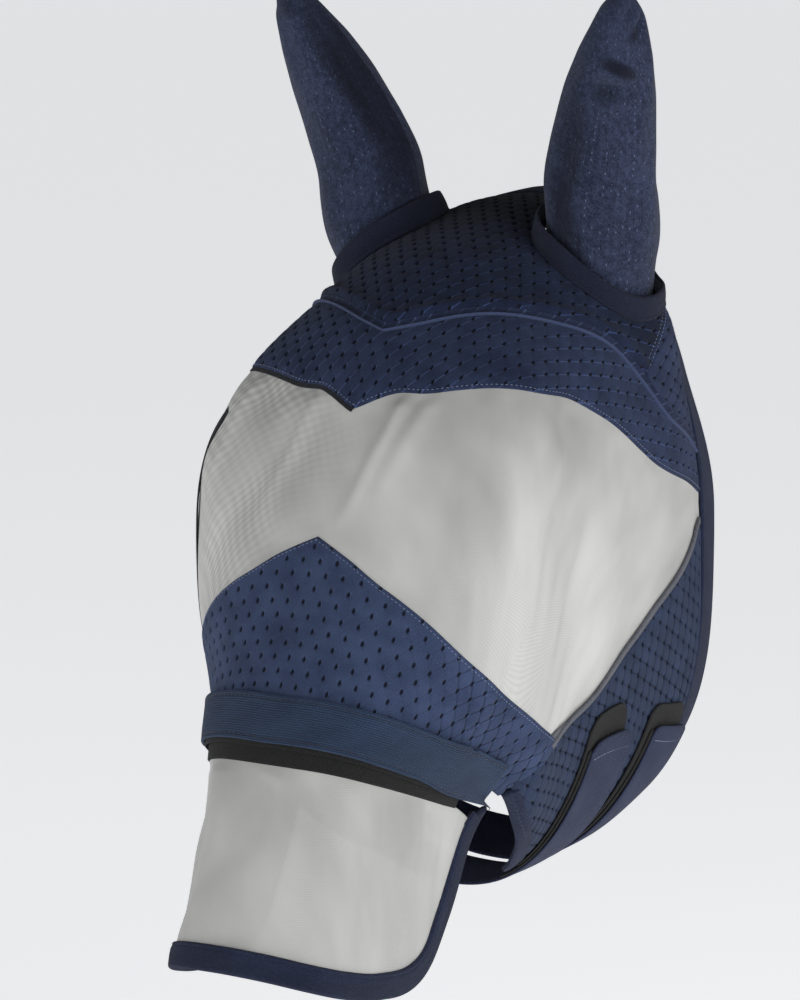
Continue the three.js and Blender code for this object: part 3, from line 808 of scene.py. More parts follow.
def colour(red, green, blue):
    """A colour given as it looks on a screen, 0 to 255, as the linear one that shaders take."""
    def linear(value):
        value = value / 255
        return value / 12.92 if value <= 0.04045 else ((value + 0.055) / 1.055) ** 2.4
    return (linear(red), linear(green), linear(blue), 1)


def spacer_finish(
    name, dark, light, creases, ladders, glow=2.3, dim=None, smooth_middle=None,
):
    """Spacer mesh: a velvety knit with staggered slots, with painted shade in the slots and along the
    creases, and a painted highlight on each slot's lip. creases is how strongly shade is painted
    along the folds that join them crosswise, ladders the strength of the pale threads that run from
    slot to slot, and glow how much paler than the cloth those threads and the painted highlights
    are. dim is how far along the mask painted shade fades out, from deepest at the rear, and
    smooth_middle how far from the centre line its creases begin."""
    f = Finish(name, Roughness=0.88, Sheen_Weight=0.05, Sheen_Roughness=0.5)
    f.shader.inputs["Specular IOR Level"].default_value = 0.22
    uv, u, v = f.flat()
    p, q = u / SLOT_PITCH[0], v / SLOT_PITCH[1]
    hole = fleck = None
    for shift_p, shift_q in ((0.0, 0.0), (0.5, 1.0)):
        down = f.fraction((q - shift_q) / 2) * (2 * SLOT_PITCH[1] / SLOT_SIZE[1])
        across = f.fraction(p - shift_p) * (SLOT_PITCH[0] / SLOT_SIZE[0])
        lip = f.fraction(p - (shift_p + SLOT_LIP_SHIFT)) * (SLOT_PITCH[0] / (0.5 * SLOT_SIZE[0]))
        reach, rim = across * across + down * down, lip * lip + down * down * 0.8
        hole = reach if hole is None else f.least(hole, reach)
        fleck = rim if fleck is None else f.least(fleck, rim)
    inside = 1 - f.rise(hole, 0.35, 1.4)
    patchy = f.rise(f.noise(uv, 22, 1), 0.38, 0.62)
    # Painted highlight on each slot's lip.
    glint = (1 - f.rise(fleck, 0.3, 1.3)) * (0.35 + 0.65 * f.rise(f.noise(uv, 160, 1), 0.4, 0.6))
    crease = f.least(f.fraction(p - q / 2), f.fraction(p + q / 2))
    crease_line = (1 - f.rise(crease, 0.02, 0.085)) * (0.25 + 0.75 * patchy) * creases
    if smooth_middle:
        crease_line = crease_line * f.rise(abs(u), *smooth_middle)
    thread = f.fraction(p + q / 2 - SLOT_LIP_SHIFT)
    thread_line = (1 - f.rise(thread, 0.015, 0.07)) * (0.4 + 0.6 * (1 - patchy)) * ladders
    worn = f.noise(uv, 60, 4)
    knit = f.sine(u * (2 * math.pi / 0.0011)) * f.sine(v * (2 * math.pi / 0.0008))
    fuzz = f.noise(uv, 1500, 2)
    cloth = f.blend(f.rise(fuzz * 0.5 + worn * 0.5 + knit * 0.06, 0.32, 0.68), dark, light)
    pale = tuple(min(1.0, glow * value) for value in light[:3]) + (1,)
    # deep is the colour of the painted shade in the creases and in the slots' holes.
    deep = tuple(0.28 * value for value in dark[:3]) + (1,)
    # Painted shade, deepening towards the rear of the piece.
    if dim:
        deeper = f.blend(worn, tuple(0.2 * value for value in dark[:3]) + (1,), dark)
        cloth = f.blend(f.rise(v, *dim), deeper, cloth)
    # Painted shade along the creases.
    cloth = f.blend(crease_line * 0.7, cloth, deep)
    # The pale threads, and the painted highlights on the slots' lips.
    cloth = f.blend(f.most(thread_line * 0.55, glint * (0.4 + 0.4 * ladders)), cloth, pale)
    # Painted shade in the slots' holes.
    f.set(Base_Color=f.blend(inside, cloth, deep))
    height = fuzz * 0.5 + knit * 0.25 - crease_line * 1.2 - inside * 1.5 + thread_line * 0.6
    f.set(Normal=f.relief(height, 0.0004, 0.7))
    return f.material


def cloth_finish(name, dark, light, weave, depth, sheen, roughness=0.9):
    """A brushed or woven cloth. weave is the pitch of its threads along and across."""
    f = Finish(name, Roughness=roughness, Sheen_Weight=sheen, Sheen_Roughness=0.45)
    f.shader.inputs["Specular IOR Level"].default_value = 0.2
    uv, u, v = f.flat()
    rows = f.sine(u * (2 * math.pi / weave[0])) * f.sine(v * (2 * math.pi / weave[1]))
    nap = f.noise(uv, 900, 3)
    patchy = f.noise(uv, 45, 3)
    share = f.rise(nap * 0.65 + patchy * 0.35 + rows * 0.10, 0.30, 0.72)
    f.set(Base_Color=f.blend(share, colour(*dark), colour(*light)))
    f.set(Normal=f.relief(nap + rows * 0.5, depth, 0.8))
    return f.material


def sheer_finish(name, dark, light, cover, open_share, rippled=0.0):
    """Fine net: see-through, cloudier where it lies double, and with the fine crossing bands of
    its two sets of threads, which are strongest on the right side where rippled is set."""
    f = Finish(name, Roughness=0.6, Sheen_Weight=0.1)
    uv, u, v = f.flat()
    warp = f.sine(u * (2 * math.pi / 0.0009))
    weft = f.sine(v * (2 * math.pi / 0.0009))
    holes = f.rise(warp * weft, 0.1, 0.8)
    cloudy = f.noise(uv, 9, 3)
    streaks = f.noise(f.node("Mapping", inputs={"Vector": uv, "Scale": (2.0, 0.8, 1)}), 30, 2)
    tone = cloudy * 0.7 + streaks * 0.08 + 0.11
    if rippled:
        drift = f.noise(uv, 11, 1) * 46 + f.noise(uv, 34, 1) * 5
        bands = f.sine(v * (2 * math.pi / 0.0050) + u * (2 * math.pi / 0.0180) + drift)
        fans = f.sine(u * (2 * math.pi / 0.0062) - v * (2 * math.pi / 0.011) + drift * 0.7)
        where = 1 - f.rise(u + v * 0.25, -0.02, 0.10)
        fainter = f.rise(f.noise(uv, 16, 1), 0.35, 0.6) * 0.7 + 0.3
        tone = tone + (bands * 0.6 + fans * 0.4) * where * fainter * rippled
    f.set(Base_Color=f.blend(f.rise(tone, 0.2, 0.8), colour(*dark), colour(*light)))
    f.set(Alpha=cover - open_share * holes + 0.14 * (cloudy - 0.5))
    f.set(Normal=f.relief(warp * weft, 0.0001, 0.25))
    return f.material


def hem_finish():
    """The net's turned-in hem: dark, patchily see-through towards its upper edge."""
    f = Finish("dark_hem_net", Roughness=0.6, Sheen_Weight=0.1)
    uv, u, v = f.flat()
    patches = f.noise(f.node("Mapping", inputs={"Vector": uv, "Scale": (0.5, 1.3, 1)}), 90, 3)
    depth = f.rise(v + (patches - 0.5) * 0.016, 0.0010, 0.0045)
    grain = f.noise(uv, 900, 2)
    f.set(Base_Color=f.blend(patches * 0.6 + grain * 0.4, colour(30, 31, 36), colour(104, 105, 110)))
    f.set(Alpha=0.12 + 0.86 * depth * (0.55 + 0.45 * f.rise(patches, 0.35, 0.55)))
    f.set(Normal=f.relief(grain, 0.0002, 0.4))
    return f.material


def ear_finish(name, painted_hollow_shades=()):
    """The ears' knit: heathered, with faint columns of pale flecks and short dark dashes. Shade is
    painted into the hollows of its folds: each painted shade has a place on the flat cloth, a reach
    each way, how far it climbs for each metre sideways, and how dark it is."""
    f = Finish(name, Roughness=0.92, Sheen_Weight=0.10, Sheen_Roughness=0.45)
    f.shader.inputs["Specular IOR Level"].default_value = 0.2
    uv, u, v = f.flat()
    nap, heather, soft = f.noise(uv, 1000, 3), f.noise(uv, 260, 3), f.noise(uv, 24, 3)
    column, course = f.fraction(u / 0.0042), f.fraction(v / 0.0036 + f.noise(uv, 70, 0) * 0.4)
    spot = (1 - f.rise(column, 0.03, 0.10)) * (1 - f.rise(course, 0.08, 0.22))
    fleck = spot * f.rise(f.noise(uv, 190, 1), 0.52, 0.62)
    other_column = f.fraction(u / 0.0042 + 0.5)
    dash = (1 - f.rise(other_column, 0.05, 0.14)) * (1 - f.rise(course, 0.15, 0.35))
    share = f.rise(nap * 0.45 + heather * 0.35 + soft * 0.2, 0.36, 0.64)
    cloth = f.blend(share, colour(27, 32, 50), colour(58, 66, 92))
    cloth = f.blend(dash * 0.35, cloth, colour(26, 31, 52))
    cloth = f.blend(fleck * 0.6, cloth, colour(112, 124, 158))
    wander = (f.noise(uv, 45, 2) - 0.5) * 0.8
    # Painted shade in each hollow.
    for at_u, at_v, reach_u, reach_v, climb, strength in painted_hollow_shades:
        sideways = (u - at_u) * (1 / reach_u)
        upwards = (v - (u - at_u) * climb - at_v) * (1 / reach_v)
        away = sideways * sideways + upwards * upwards + wander
        cloth = f.blend((1 - f.rise(away, 0, 1.2)) * strength, cloth, colour(12, 14, 24))
    f.set(Base_Color=cloth)
    f.set(Normal=f.relief(nap * 0.7 + heather * 0.5 - dash * 0.3, 0.0006, 0.8))
    return f.material


def piping_finish():
    """The double piping: mesh between two corded edges, of which the lower is painted paler, a painted
    highlight where it catches the light.
    """
    f = Finish("navy_piping_cloth", Roughness=0.88, Sheen_Weight=0.08, Sheen_Roughness=0.5)
    f.shader.inputs["Specular IOR Level"].default_value = 0.22
    uv, u, v = f.flat()
    nap, worn = f.noise(uv, 1200, 3), f.noise(uv, 70, 3)
    cord = 1 - f.rise(abs(v - (PIPING_WIDTH - CORD_INSET)), 0.0005, 0.0013)
    tick = (1 - f.rise(f.fraction(u / 0.0088), 0.03, 0.09)) * (0.3 + 0.7 * f.rise(worn, 0.35, 0.6))
    base = f.blend(f.rise(nap * 0.6 + worn * 0.4, 0.3, 0.7), colour(20, 27, 48), colour(44, 54, 84))
    ticked = f.blend(tick * (1 - cord) * 0.6, base, colour(78, 92, 128))
    # Painted highlight along the lower cord.
    f.set(Base_Color=f.blend(cord * (0.6 + 0.4 * nap), ticked, colour(66, 78, 110)))
    f.set(Normal=f.relief(nap + tick * 0.5, 0.0005, 0.8))
    return f.material


def fuzzy_finish(name, dark, light):
    """Hook or loop tape: a dense nap of tiny curls."""
    f = Finish(name, Roughness=0.95, Sheen_Weight=0.05)
    uv, u, v = f.flat()
    curls = f.noise(uv, 1100, 4, 0.7)
    rows = f.sine(v * (2 * math.pi / 0.0017)) * f.sine(u * (2 * math.pi / 0.0017))
    share = f.rise(curls + rows * 0.08, 0.38, 0.68)
    f.set(Base_Color=f.blend(share, colour(*dark), colour(*light)))
    f.set(Normal=f.relief(curls + rows * 0.3, 0.0009))
    return f.material


def web_finish():
    """Nose band webbing: close ribs along its length, crossed by the weft."""
    f = Finish("blue_band_webbing", Roughness=0.8, Sheen_Weight=0.06)
    f.shader.inputs["Specular IOR Level"].default_value = 0.3
    uv, u, v = f.flat()
    ribs = f.sine(v * (2 * math.pi / 0.0013))
    weft = f.sine(u * (2 * math.pi / 0.0009) + f.sine(v * (2 * math.pi / 0.0026)) * 1.4)
    nap = f.noise(uv, 1300, 3)
    share = f.rise(nap * 0.6 + ribs * 0.12 + weft * 0.10 + f.noise(uv, 40, 2) * 0.4, 0.25, 0.78)
    f.set(Base_Color=f.blend(share, colour(28, 44, 70), colour(56, 78, 110)))
    f.set(Normal=f.relief(ribs * 0.6 + weft * 0.5 + nap * 0.6, 0.00035))
    return f.material


def thread_finish(name, dark, light):
    f = Finish(name, Roughness=0.6, Sheen_Weight=0.2)
    grain = f.noise(f.place(), 900, 2)
    f.set(Base_Color=f.blend(grain, colour(*dark), colour(*light)))
    f.set(Normal=f.relief(grain, 0.0002))
    return f.material


SPACER_CLOTH = spacer_finish(
    "navy_spacer_mesh", colour(44, 56, 84), colour(66, 80, 113), 0.8, 0.1, smooth_middle=SMOOTH_MIDDLE,
)
SIDE_SPACER = spacer_finish(
    "navy_side_spacer_mesh", colour(31, 42, 66), colour(50, 63, 91), 0.9, 0.1,
)
BROW_SPACER = spacer_finish(
    "navy_brow_spacer_mesh", colour(27, 37, 62), colour(50, 62, 93), 0.12, 0.9, glow=3.0,
)
# The crown's colours are the spacer cloth's darkened with painted shade, and dim paints more shade
# towards its rear.
CROWN_SPACER_WITH_PAINTED_SHADE = spacer_finish(
    "navy_crown_spacer_mesh_with_painted_shade", colour(15, 22, 42), colour(34, 46, 76), 0.2, 1.1, glow=3.4,
    dim=(0.045, 0.125),
)
GUSSET_SPACER = spacer_finish(
    "navy_gusset_spacer_mesh", colour(28, 38, 64), colour(50, 62, 93), 0.4, 0.3,
)
EAR_KNIT = ear_finish("navy_ear_knit")
# The fronts of the ears have painted shade in the hollows of their folds, and the right one a broad
# painted shadow down one side.
LEFT_EAR_KNIT_WITH_PAINTED_SHADE = ear_finish("navy_left_ear_front_knit_with_painted_shade", (
    (0.060, 0.119, 0.020, 0.0052, -0.10, 0.80),
    (0.052, 0.101, 0.014, 0.0090, 0.10, 0.45),
    (0.076, 0.142, 0.010, 0.0060, 0.60, 0.70),
    (0.034, 0.060, 0.012, 0.0500, 0.00, 0.50),
    (0.040, 0.022, 0.014, 0.0220, -0.8, 0.50),
))
RIGHT_EAR_KNIT_WITH_PAINTED_SHADE = ear_finish("navy_right_ear_front_knit_with_painted_shade", (
    (0.010, 0.080, 0.022, 0.0850, 0.00, 0.75),
    (0.026, 0.110, 0.012, 0.0450, 0.00, 0.45),
    (0.050, 0.150, 0.020, 0.0100, 0.30, 0.40),
))
BINDING_CLOTH = cloth_finish(
    "navy_binding_cloth", (28, 34, 56), (50, 58, 84), (0.0013, 0.0016), 0.0006, 0.06,
)
COLLAR_CLOTH = cloth_finish(
    "dark_collar_cloth", (23, 27, 43), (38, 43, 63), (0.0012, 0.0014), 0.0004, 0.05,
)
STRAP_CLOTH = cloth_finish(
    "navy_strap_cloth", (36, 43, 68), (60, 68, 96), (0.0015, 0.0018), 0.0006, 0.07,
)
TRIM_RIBBON = cloth_finish(
    "grey_trim_ribbon", (74, 76, 86), (112, 114, 122), (0.0011, 0.0011), 0.0003, 0.2,
)
DARK_TAPE = cloth_finish(
    "charcoal_net_tape", (24, 25, 30), (56, 57, 62), (0.0011, 0.0011), 0.0003, 0.05,
)
BAND_WEBBING = web_finish()
PIPING_CLOTH = piping_finish()
EYE_NET = sheer_finish("grey_eye_net", (168, 168, 166), (226, 226, 222), 0.95, 0.16, rippled=0.16)
FLAP_NET = sheer_finish("grey_flap_net", (172, 172, 170), (222, 222, 218), 0.86, 0.22)
HEM_NET = hem_finish()
LOOP_TAPE = fuzzy_finish("black_loop_tape", (8, 8, 9), (34, 34, 35))
HOOK_TAPE = fuzzy_finish("black_hook_tape", (10, 10, 11), (34, 34, 36))
PALE_THREAD = thread_finish("pale_navy_thread", (96, 108, 142), (136, 148, 180))
DARK_THREAD = thread_finish("dark_navy_thread", (22, 25, 38), (38, 42, 60))

# ---------------------------------------------------------------- sewing


NARROWEST_SHEET = 10 * MM


def declare_cut(piece):
    """Looks up the size a piece of cloth was cut to and, for a sheet, works out the smaller of its
    area and its width times its length, which it does not keep; a cord or trim under 10 mm wide isn't
    a sheet.
    """
    width, length, area = CUT_SIZES.get(piece.name, (0, 0, 0))
    if min(width, length) > NARROWEST_SHEET:
        min(area, width * length)


def dress(piece, material, body="mask", replaces=()):
    piece.data.materials.clear()
    piece.data.materials.append(material)
    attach(piece, body)
    declare_cut(piece)
    if replaces:
        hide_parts(*replaces)
    return piece


def on_form(path, height, side=1):
    """A seam as a function of t that gives points and outward directions."""

    def at(t):
        places = path(t)
        along, around = places[..., 0], places[..., 1] * side
        return surface(along, around, np.full(along.shape, height)), outward(along, around)

    return at


def stitch_row(bm, seam, length, gap, thick):
    """A row of stitches along a seam, each a short block to be rounded later."""
    t = np.linspace(0, 1, 800)
    points, normals = seam(t)
    gone = np.concatenate([[0], np.cumsum(np.linalg.norm(np.diff(points, axis=0), axis=1))])
    count = int(gone[-1] / (length + gap))
    for k in range(count):
        middle = (k + 0.5) * gone[-1] / count
        at = [np.interp(middle + d, gone, t) for d in (-length / 2, 0, length / 2)]
        (a, b, c), (_, up, _) = seam(np.array(at))
        on = unit(c - a)
        up = unit(up - on * (up @ on))
        over = np.cross(up, on)
        turn = Matrix([
            (on[0] * length, over[0] * thick, up[0] * thick, b[0]),
            (on[1] * length, over[1] * thick, up[1] * thick, b[1]),
            (on[2] * length, over[2] * thick, up[2] * thick, b[2]),
            (0, 0, 0, 1),
        ])
        bmesh.ops.create_cube(bm, size=1.0, matrix=turn)


def crossing(path, at, half):
    """A seam straight across a strap."""
    def line_across(t):
        t = np.asarray(t, float)
        return beside(path, lambda _: (2 * t - 1) * half)(np.full_like(t, at))
    return line_across


def stitching(name, rows, body="mask", material=None):
    """Rows of stitches as one piece. Each row is (seam, length, gap, thickness)."""
    bm = bmesh.new()
    for row in rows:
        stitch_row(bm, *row)
    thinnest = min(row[3] for row in rows)
    bmesh.ops.bevel(
        bm, geom=bm.edges[:], offset=thinnest * 0.3, segments=1, profile=0.5, affect="EDGES",
        material=-1,
    )
    piece = smooth(link(name, bm))
    return dress(piece, material or PALE_THREAD, body)


# ---------------------------------------------------------------- ear axes

EAR_LENGTH = float(np.linalg.norm(EAR_TIP - EAR_BASE))
EAR_AXIS = (EAR_TIP - EAR_BASE) / EAR_LENGTH
EAR_WIDE = unit(np.array([1.0, 0, 0]) - EAR_AXIS * EAR_AXIS[0])
EAR_DEEP = np.cross(EAR_AXIS, EAR_WIDE)
MIRROR_X = np.array([-1.0, 1.0, 1.0])


def ear_radius(points):
    """How far points are from the axis of the ear on their own side."""
    folded = np.stack([np.abs(points[..., 0]), points[..., 1], points[..., 2]], -1) - EAR_BASE
    along = folded @ EAR_AXIS
    return np.linalg.norm(folded - along[..., None] * EAR_AXIS, axis=-1)


def ear_point(angle, distance, wide, deep):
    return (
        EAR_BASE
        + EAR_AXIS * distance[..., None]
        + EAR_WIDE * (wide * np.cos(angle))[..., None]
        + EAR_DEEP * (deep * np.sin(angle))[..., None]
    )


def ear_foot(radius, angle, height):
    """Where a line beside the ear's axis meets the form, as a distance along the axis."""
    start = ear_point(angle, np.zeros_like(angle), radius + 0 * angle, radius + 0 * angle)
    along, around, reach = np.full_like(angle, 0.16), np.full_like(angle, 0.19), np.zeros_like(angle)
    for _ in range(14):
        here = surface(along, around, height)
        miss = here - start - EAR_AXIS * reach[..., None]
        du, dv = tangents(along, around)
        back = np.broadcast_to(-EAR_AXIS, du.shape)
        det = (du * np.cross(dv, back)).sum(-1)
        along = np.clip(along - (miss * np.cross(dv, back)).sum(-1) / det, 0.0, 0.45)
        around = np.clip(around - (du * np.cross(miss, back)).sum(-1) / det, -0.1, 0.5)
        reach = reach - (du * np.cross(dv, miss)).sum(-1) / det
    return reach


# ---------------------------------------------------------------- spacer-mesh panels

SIDES = (("left", 1), ("right", -1))
FINE = (1.05 * MM, 1.05 * MM)


def crown():
    upper = line([(0.057, 0), (0.058, 0.06), (0.059, 0.12), (0.060, 0.18), (0.0625, 0.2395)])
    lower = beside(part(PIPING, 0, 0.715), -PIPING_WIDTH / 2 + TUCK / 2)
    piece = panel(
        "crown_spacer_panel", upper, lower, FINE, spacer_layers(swell=2.2 * MM, puff=0.2 * MM),
        keep=lambda spots: ear_radius(surface(spots.along, spots.around, 0)) - EAR_HOLE,
        flat="cloth",
    )
    dress(piece, CROWN_SPACER_WITH_PAINTED_SHADE, replaces=["crown_panel"])


def brow():
    piece = panel(
        "brow_spacer_panel",
        beside(PIPING, PIPING_WIDTH / 2 - TUCK / 2),
        beside(BROW_EDGE, -SEAM * 0.3),
        FINE, spacer_layers(hem=2.2 * MM, puff=0.15 * MM), flat="cloth",
    )
    dress(piece, BROW_SPACER, replaces=["brow_panel"])


def nose():
    upper = drawn([*NOSE_POINTS, (0.560, 0.664)])
    lower = line([
        (0.972, 0), (0.972, 0.09), (0.971, 0.17), (0.972, 0.26), (0.974, 0.34), (0.968, 0.43),
        (0.921, 0.55), (0.830, 0.640), (0.790, 0.672),
    ])
    piece = panel(
        "nose_spacer_panel", beside(upper, SEAM * 0.3), lower, FINE,
        spacer_layers(sunk=2.6 * MM, smooth_middle=SMOOTH_MIDDLE), flat="cloth",
    )
    dress(piece, SPACER_CLOTH, replaces=["nose_panel"])


GUSSET_SEAM = line([(0.063, 0.242), (0.13, 0.281), (0.214, 0.342)])


def gusset_and_cheek(word, side):
    piece = panel(
        f"{word}_gusset_spacer_panel", GUSSET_SEAM,
        beside(part(PIPING, 1, 0.725), PIPING_WIDTH / 2 - TUCK / 2),
        FINE, spacer_layers(), side=side, flat="cloth",
    )
    dress(piece, GUSSET_SPACER, replaces=[f"{word}_crown_gusset"])

    run = part(OUTLINE, CHEEK_START, FRONT_END)
    lower = beside(run, lambda t: (
        binding_width(CHEEK_START + (FRONT_END - CHEEK_START) * t) - TUCK
    ))
    piece = panel(
        f"{word}_cheek_spacer_panel", beside(CHEEK_EDGE, -SEAM * 0.3), lower, FINE,
        spacer_layers(), side=side, turn=side * math.radians(68), flat="cloth",
    )
    dress(piece, SIDE_SPACER, replaces=[f"{word}_cheek_panel"])


# ---------------------------------------------------------------- see-through mesh


def fold(u, v, start, end, width, height, curl=0.0):
    """A soft crease of cloth between two flat places, in metres, fading at its ends."""
    run = np.array(end) - np.array(start)
    length = np.linalg.norm(run)
    run = run / length
    along = (u - start[0]) * run[0] + (v - start[1]) * run[1]
    share = along / length
    bow = curl * np.sin(np.pi * np.clip(share, 0, 1))
    across = (u - start[0]) * run[1] - (v - start[1]) * run[0] - bow
    fade = blur_step(share, -0.05, 0.2) * (1 - blur_step(share, 0.6, 1.1))
    return height * fade * np.exp(-((across / width) ** 2))


def eye_mesh():
    def layers(spots):
        u, v = spots.uv[..., 0], spots.uv[..., 1]
        edge = np.minimum(spots.from_upper, spots.from_lower)
        free = blur_step(edge, 1 * MM, 14 * MM)
        lift = MM * (
            0.9 * np.sin(u * 95 + v * 30) * np.sin(v * 60 - u * 25 + 1)
            + 0.45 * np.sin(u * 190 - v * 120 + 2.0)
        )
        for start, end, width, height, curl in EYE_FOLDS:
            lift = lift + fold(u, v, start, end, width, height, curl)
        lift = lift * free
        return SHEER_LAYER[0] + lift, SHEER_LAYER[1] + lift

    piece = panel(
        "eye_net", beside(BROW_EDGE, -TUCK), beside(EYE_LOWER, TUCK), (2 * MM, 2 * MM), layers,
    )
    dress(piece, EYE_NET, replaces=["eye_mesh"])


EYE_FOLDS = [
    # start and end as (distance from the centre line, distance from the rear), width, height, bow
    ((0.034, 0.215), (0.008, 0.340), 0.0045, 0.0030, 0.004),
    ((0.050, 0.215), (0.024, 0.320), 0.0060, 0.0024, 0.003),
    ((0.130, 0.190), (0.150, 0.270), 0.0120, 0.0030, -0.006),
    ((-0.020, 0.230), (-0.045, 0.330), 0.0060, 0.0022, 0.003),
    ((-0.070, 0.215), (-0.095, 0.300), 0.0060, 0.0024, -0.004),
    ((0.170, 0.180), (0.200, 0.260), 0.0110, 0.0024, 0.005),
    ((0.090, 0.230), (0.110, 0.320), 0.0140, 0.0024, 0.004),
]


def flap_mesh():
    def layers(spots):
        u, v = spots.uv[..., 0], spots.uv[..., 1]
        free = blur_step(np.minimum(spots.from_upper, spots.from_lower), 0, 10 * MM)
        lift = MM * (
            1.3 * np.sin(u * 150 + 0.7 * np.sin(v * 60)) * blur_step(spots.from_lower, 0, 60 * MM)
            + 0.8 * np.sin(v * 85 + u * 40)
        )
        lift = lift * free
        return SHEER_LAYER[0] + lift, SHEER_LAYER[1] + lift

    upper = line([(1.006, 0), (1.006, 0.15), (1.011, 0.30), (1.017, 0.42), (1.024, 0.532)])
    piece = panel(
        "muzzle_flap_net", upper, beside(part(FLAP_EDGE, 0, 0.93), -FLAP_BINDING + TUCK),
        (2 * MM, 2 * MM), layers,
    )
    dress(piece, FLAP_NET, "muzzle_flap", replaces=["flap_mesh"])


# ---------------------------------------------------------------- trims and bindings


def eye_trim(word, side):
    lower = beside(part(CHEEK_EDGE, 0, 0.74), SEAM * 0.3)
    hem = panel(
        f"{word}_eye_hem", beside(TRIM_EDGE, -HEM_LAP), lower, (1.6 * MM, 1.2 * MM),
        tape_layers((0.1 * MM, 1.9 * MM), 0.8 * MM), side=side, flat="strip", crowd=0.5,
    )
    dress(hem, HEM_NET, replaces=[f"{word}_eye_trim"])
    ribbon = strip(
        f"{word}_eye_ribbon", part(CHEEK_EDGE, 0, 0.76), 0.2 * MM, 4.6 * MM, (1.6 * MM, 0.6 * MM),
        tape_layers((0.9 * MM, 2.9 * MM), 0.8 * MM, grooves=(1.4 * MM,)), side=side, flat="strip",
        crowd=0.5,
    )
    dress(ribbon, TRIM_RIBBON)


DART = line([
    (0.515, 0.216), (0.560, 0.278), (0.590, 0.306), (0.625, 0.322), (0.665, 0.352), (0.700, 0.410),
    (0.742, 0.452),
])


def right_net_tapes():
    """The dark tapes on the net of the right side: under the brow, and along its dart."""
    shape = tape_layers((0.5 * MM, 1.5 * MM), 0.5 * MM)
    piece = strip(
        "right_brow_hem_tape", part(BROW_EDGE, 0, 0.46), -1.5 * MM, 2.0 * MM,
        (1.6 * MM, 0.5 * MM), shape, side=-1, flat="strip",
    )
    dress(piece, DARK_TAPE)
    piece = strip(
        "right_dart_tape", DART, -3.2 * MM, 3.2 * MM, (1.6 * MM, 0.8 * MM), shape, side=-1,
        flat="strip",
    )
    dress(piece, DARK_TAPE)


def piping():
    def layers(spots):
        across = spots.from_upper - (PIPING_WIDTH - CORD_INSET)
        cord = np.exp(-((across / (0.75 * MM)) ** 2))
        second = np.exp(-(((spots.from_upper - CORD_INSET) / (0.8 * MM)) ** 2))
        ticks = 0.15 * MM * np.sin(spots.from_start * 2 * np.pi / (3.2 * MM))
        outer = 1.7 * MM + 2.1 * MM * cord + 1.0 * MM * second + ticks * (1 - cord)
        edge = np.minimum(spots.from_upper, spots.from_lower)
        outer = outer * (0.35 + 0.65 * roundness(edge, 1.0 * MM))
        return np.full_like(outer, 0.1 * MM), outer

    piece = strip(
        "brow_double_piping", PIPING, -PIPING_WIDTH / 2, PIPING_WIDTH / 2, (1.2 * MM, 0.3 * MM),
        layers, flat="strip",
    )
    dress(piece, PIPING_CLOTH, replaces=["brow_piping"])


BINDING_RUNS = (
    ("rear", CROWN_END, REAR_END + 0.0005),
    ("jaw", REAR_END - 0.0005, JAW_END + 0.0005),
    ("front", JAW_END - 0.0005, FRONT_END),
)


def bindings():
    crown_run = part(OUTLINE, 0, CROWN_END + 0.001)
    shape = tape_layers(BINDING_LAYER, 1.9 * MM, grooves=(-4.6 * MM,), crown=0.3 * MM, ends=False)
    piece = strip(
        "crown_edge_binding", crown_run, 0, REAR_BINDING, (2 * MM, 0.8 * MM), shape, flat="strip",
        crowd=0.75,
    )
    dress(piece, BINDING_CLOTH, replaces=["crown_binding"])
    for word, side in SIDES:
        for place, start, end in BINDING_RUNS:
            run = part(OUTLINE, start, end)
            inner = beside(run, lambda t, a=start, b=end: binding_width(a + (b - a) * t))
            piece = panel(
                f"{word}_{place}_edge_binding", run, inner, (2 * MM, 0.8 * MM), shape, side=side,
                flat="strip", crowd=0.75,
            )
            dress(piece, BINDING_CLOTH, replaces=[f"{word}_{place}_binding"])


BAND_CUT = 0.82                 # where the band's upper edge meets its sewn end
BAND_END = [(0.9980, 0.4700), (0.9960, 0.5500), (0.9780, 0.6300)]


def band_edges():
    upper = part(beside(BAND, -BAND_WIDTH / 2), 0, BAND_CUT)
    kept = beside(BAND, BAND_WIDTH / 2)(np.linspace(0, 0.56, 9))
    return upper, line([*kept, *BAND_END])


def nose_band():
    upper, lower = band_edges()
    piece = panel(
        "nose_band_webbing", upper, lower, (1.6 * MM, 0.8 * MM),
        tape_layers(BAND_LAYER, 0.9 * MM, grooves=(2.6 * MM, -2.6 * MM), crown=0.35 * MM),
        flat="strip", crowd=0.6,
    )
    dress(piece, BAND_WEBBING, replaces=["nose_band"])
    piece = strip(
        "nose_hook_tape", part(BAND, 0, 0.74), BAND_WIDTH / 2 - 9.5 * MM, BAND_WIDTH / 2 + 2.5 * MM,
        (1.2 * MM, 0.8 * MM), tape_layers(NOSE_HOOK_LAYER, 0.6 * MM), flat="strip",
    )
    dress(piece, HOOK_TAPE, replaces=["nose_hook_strip"])


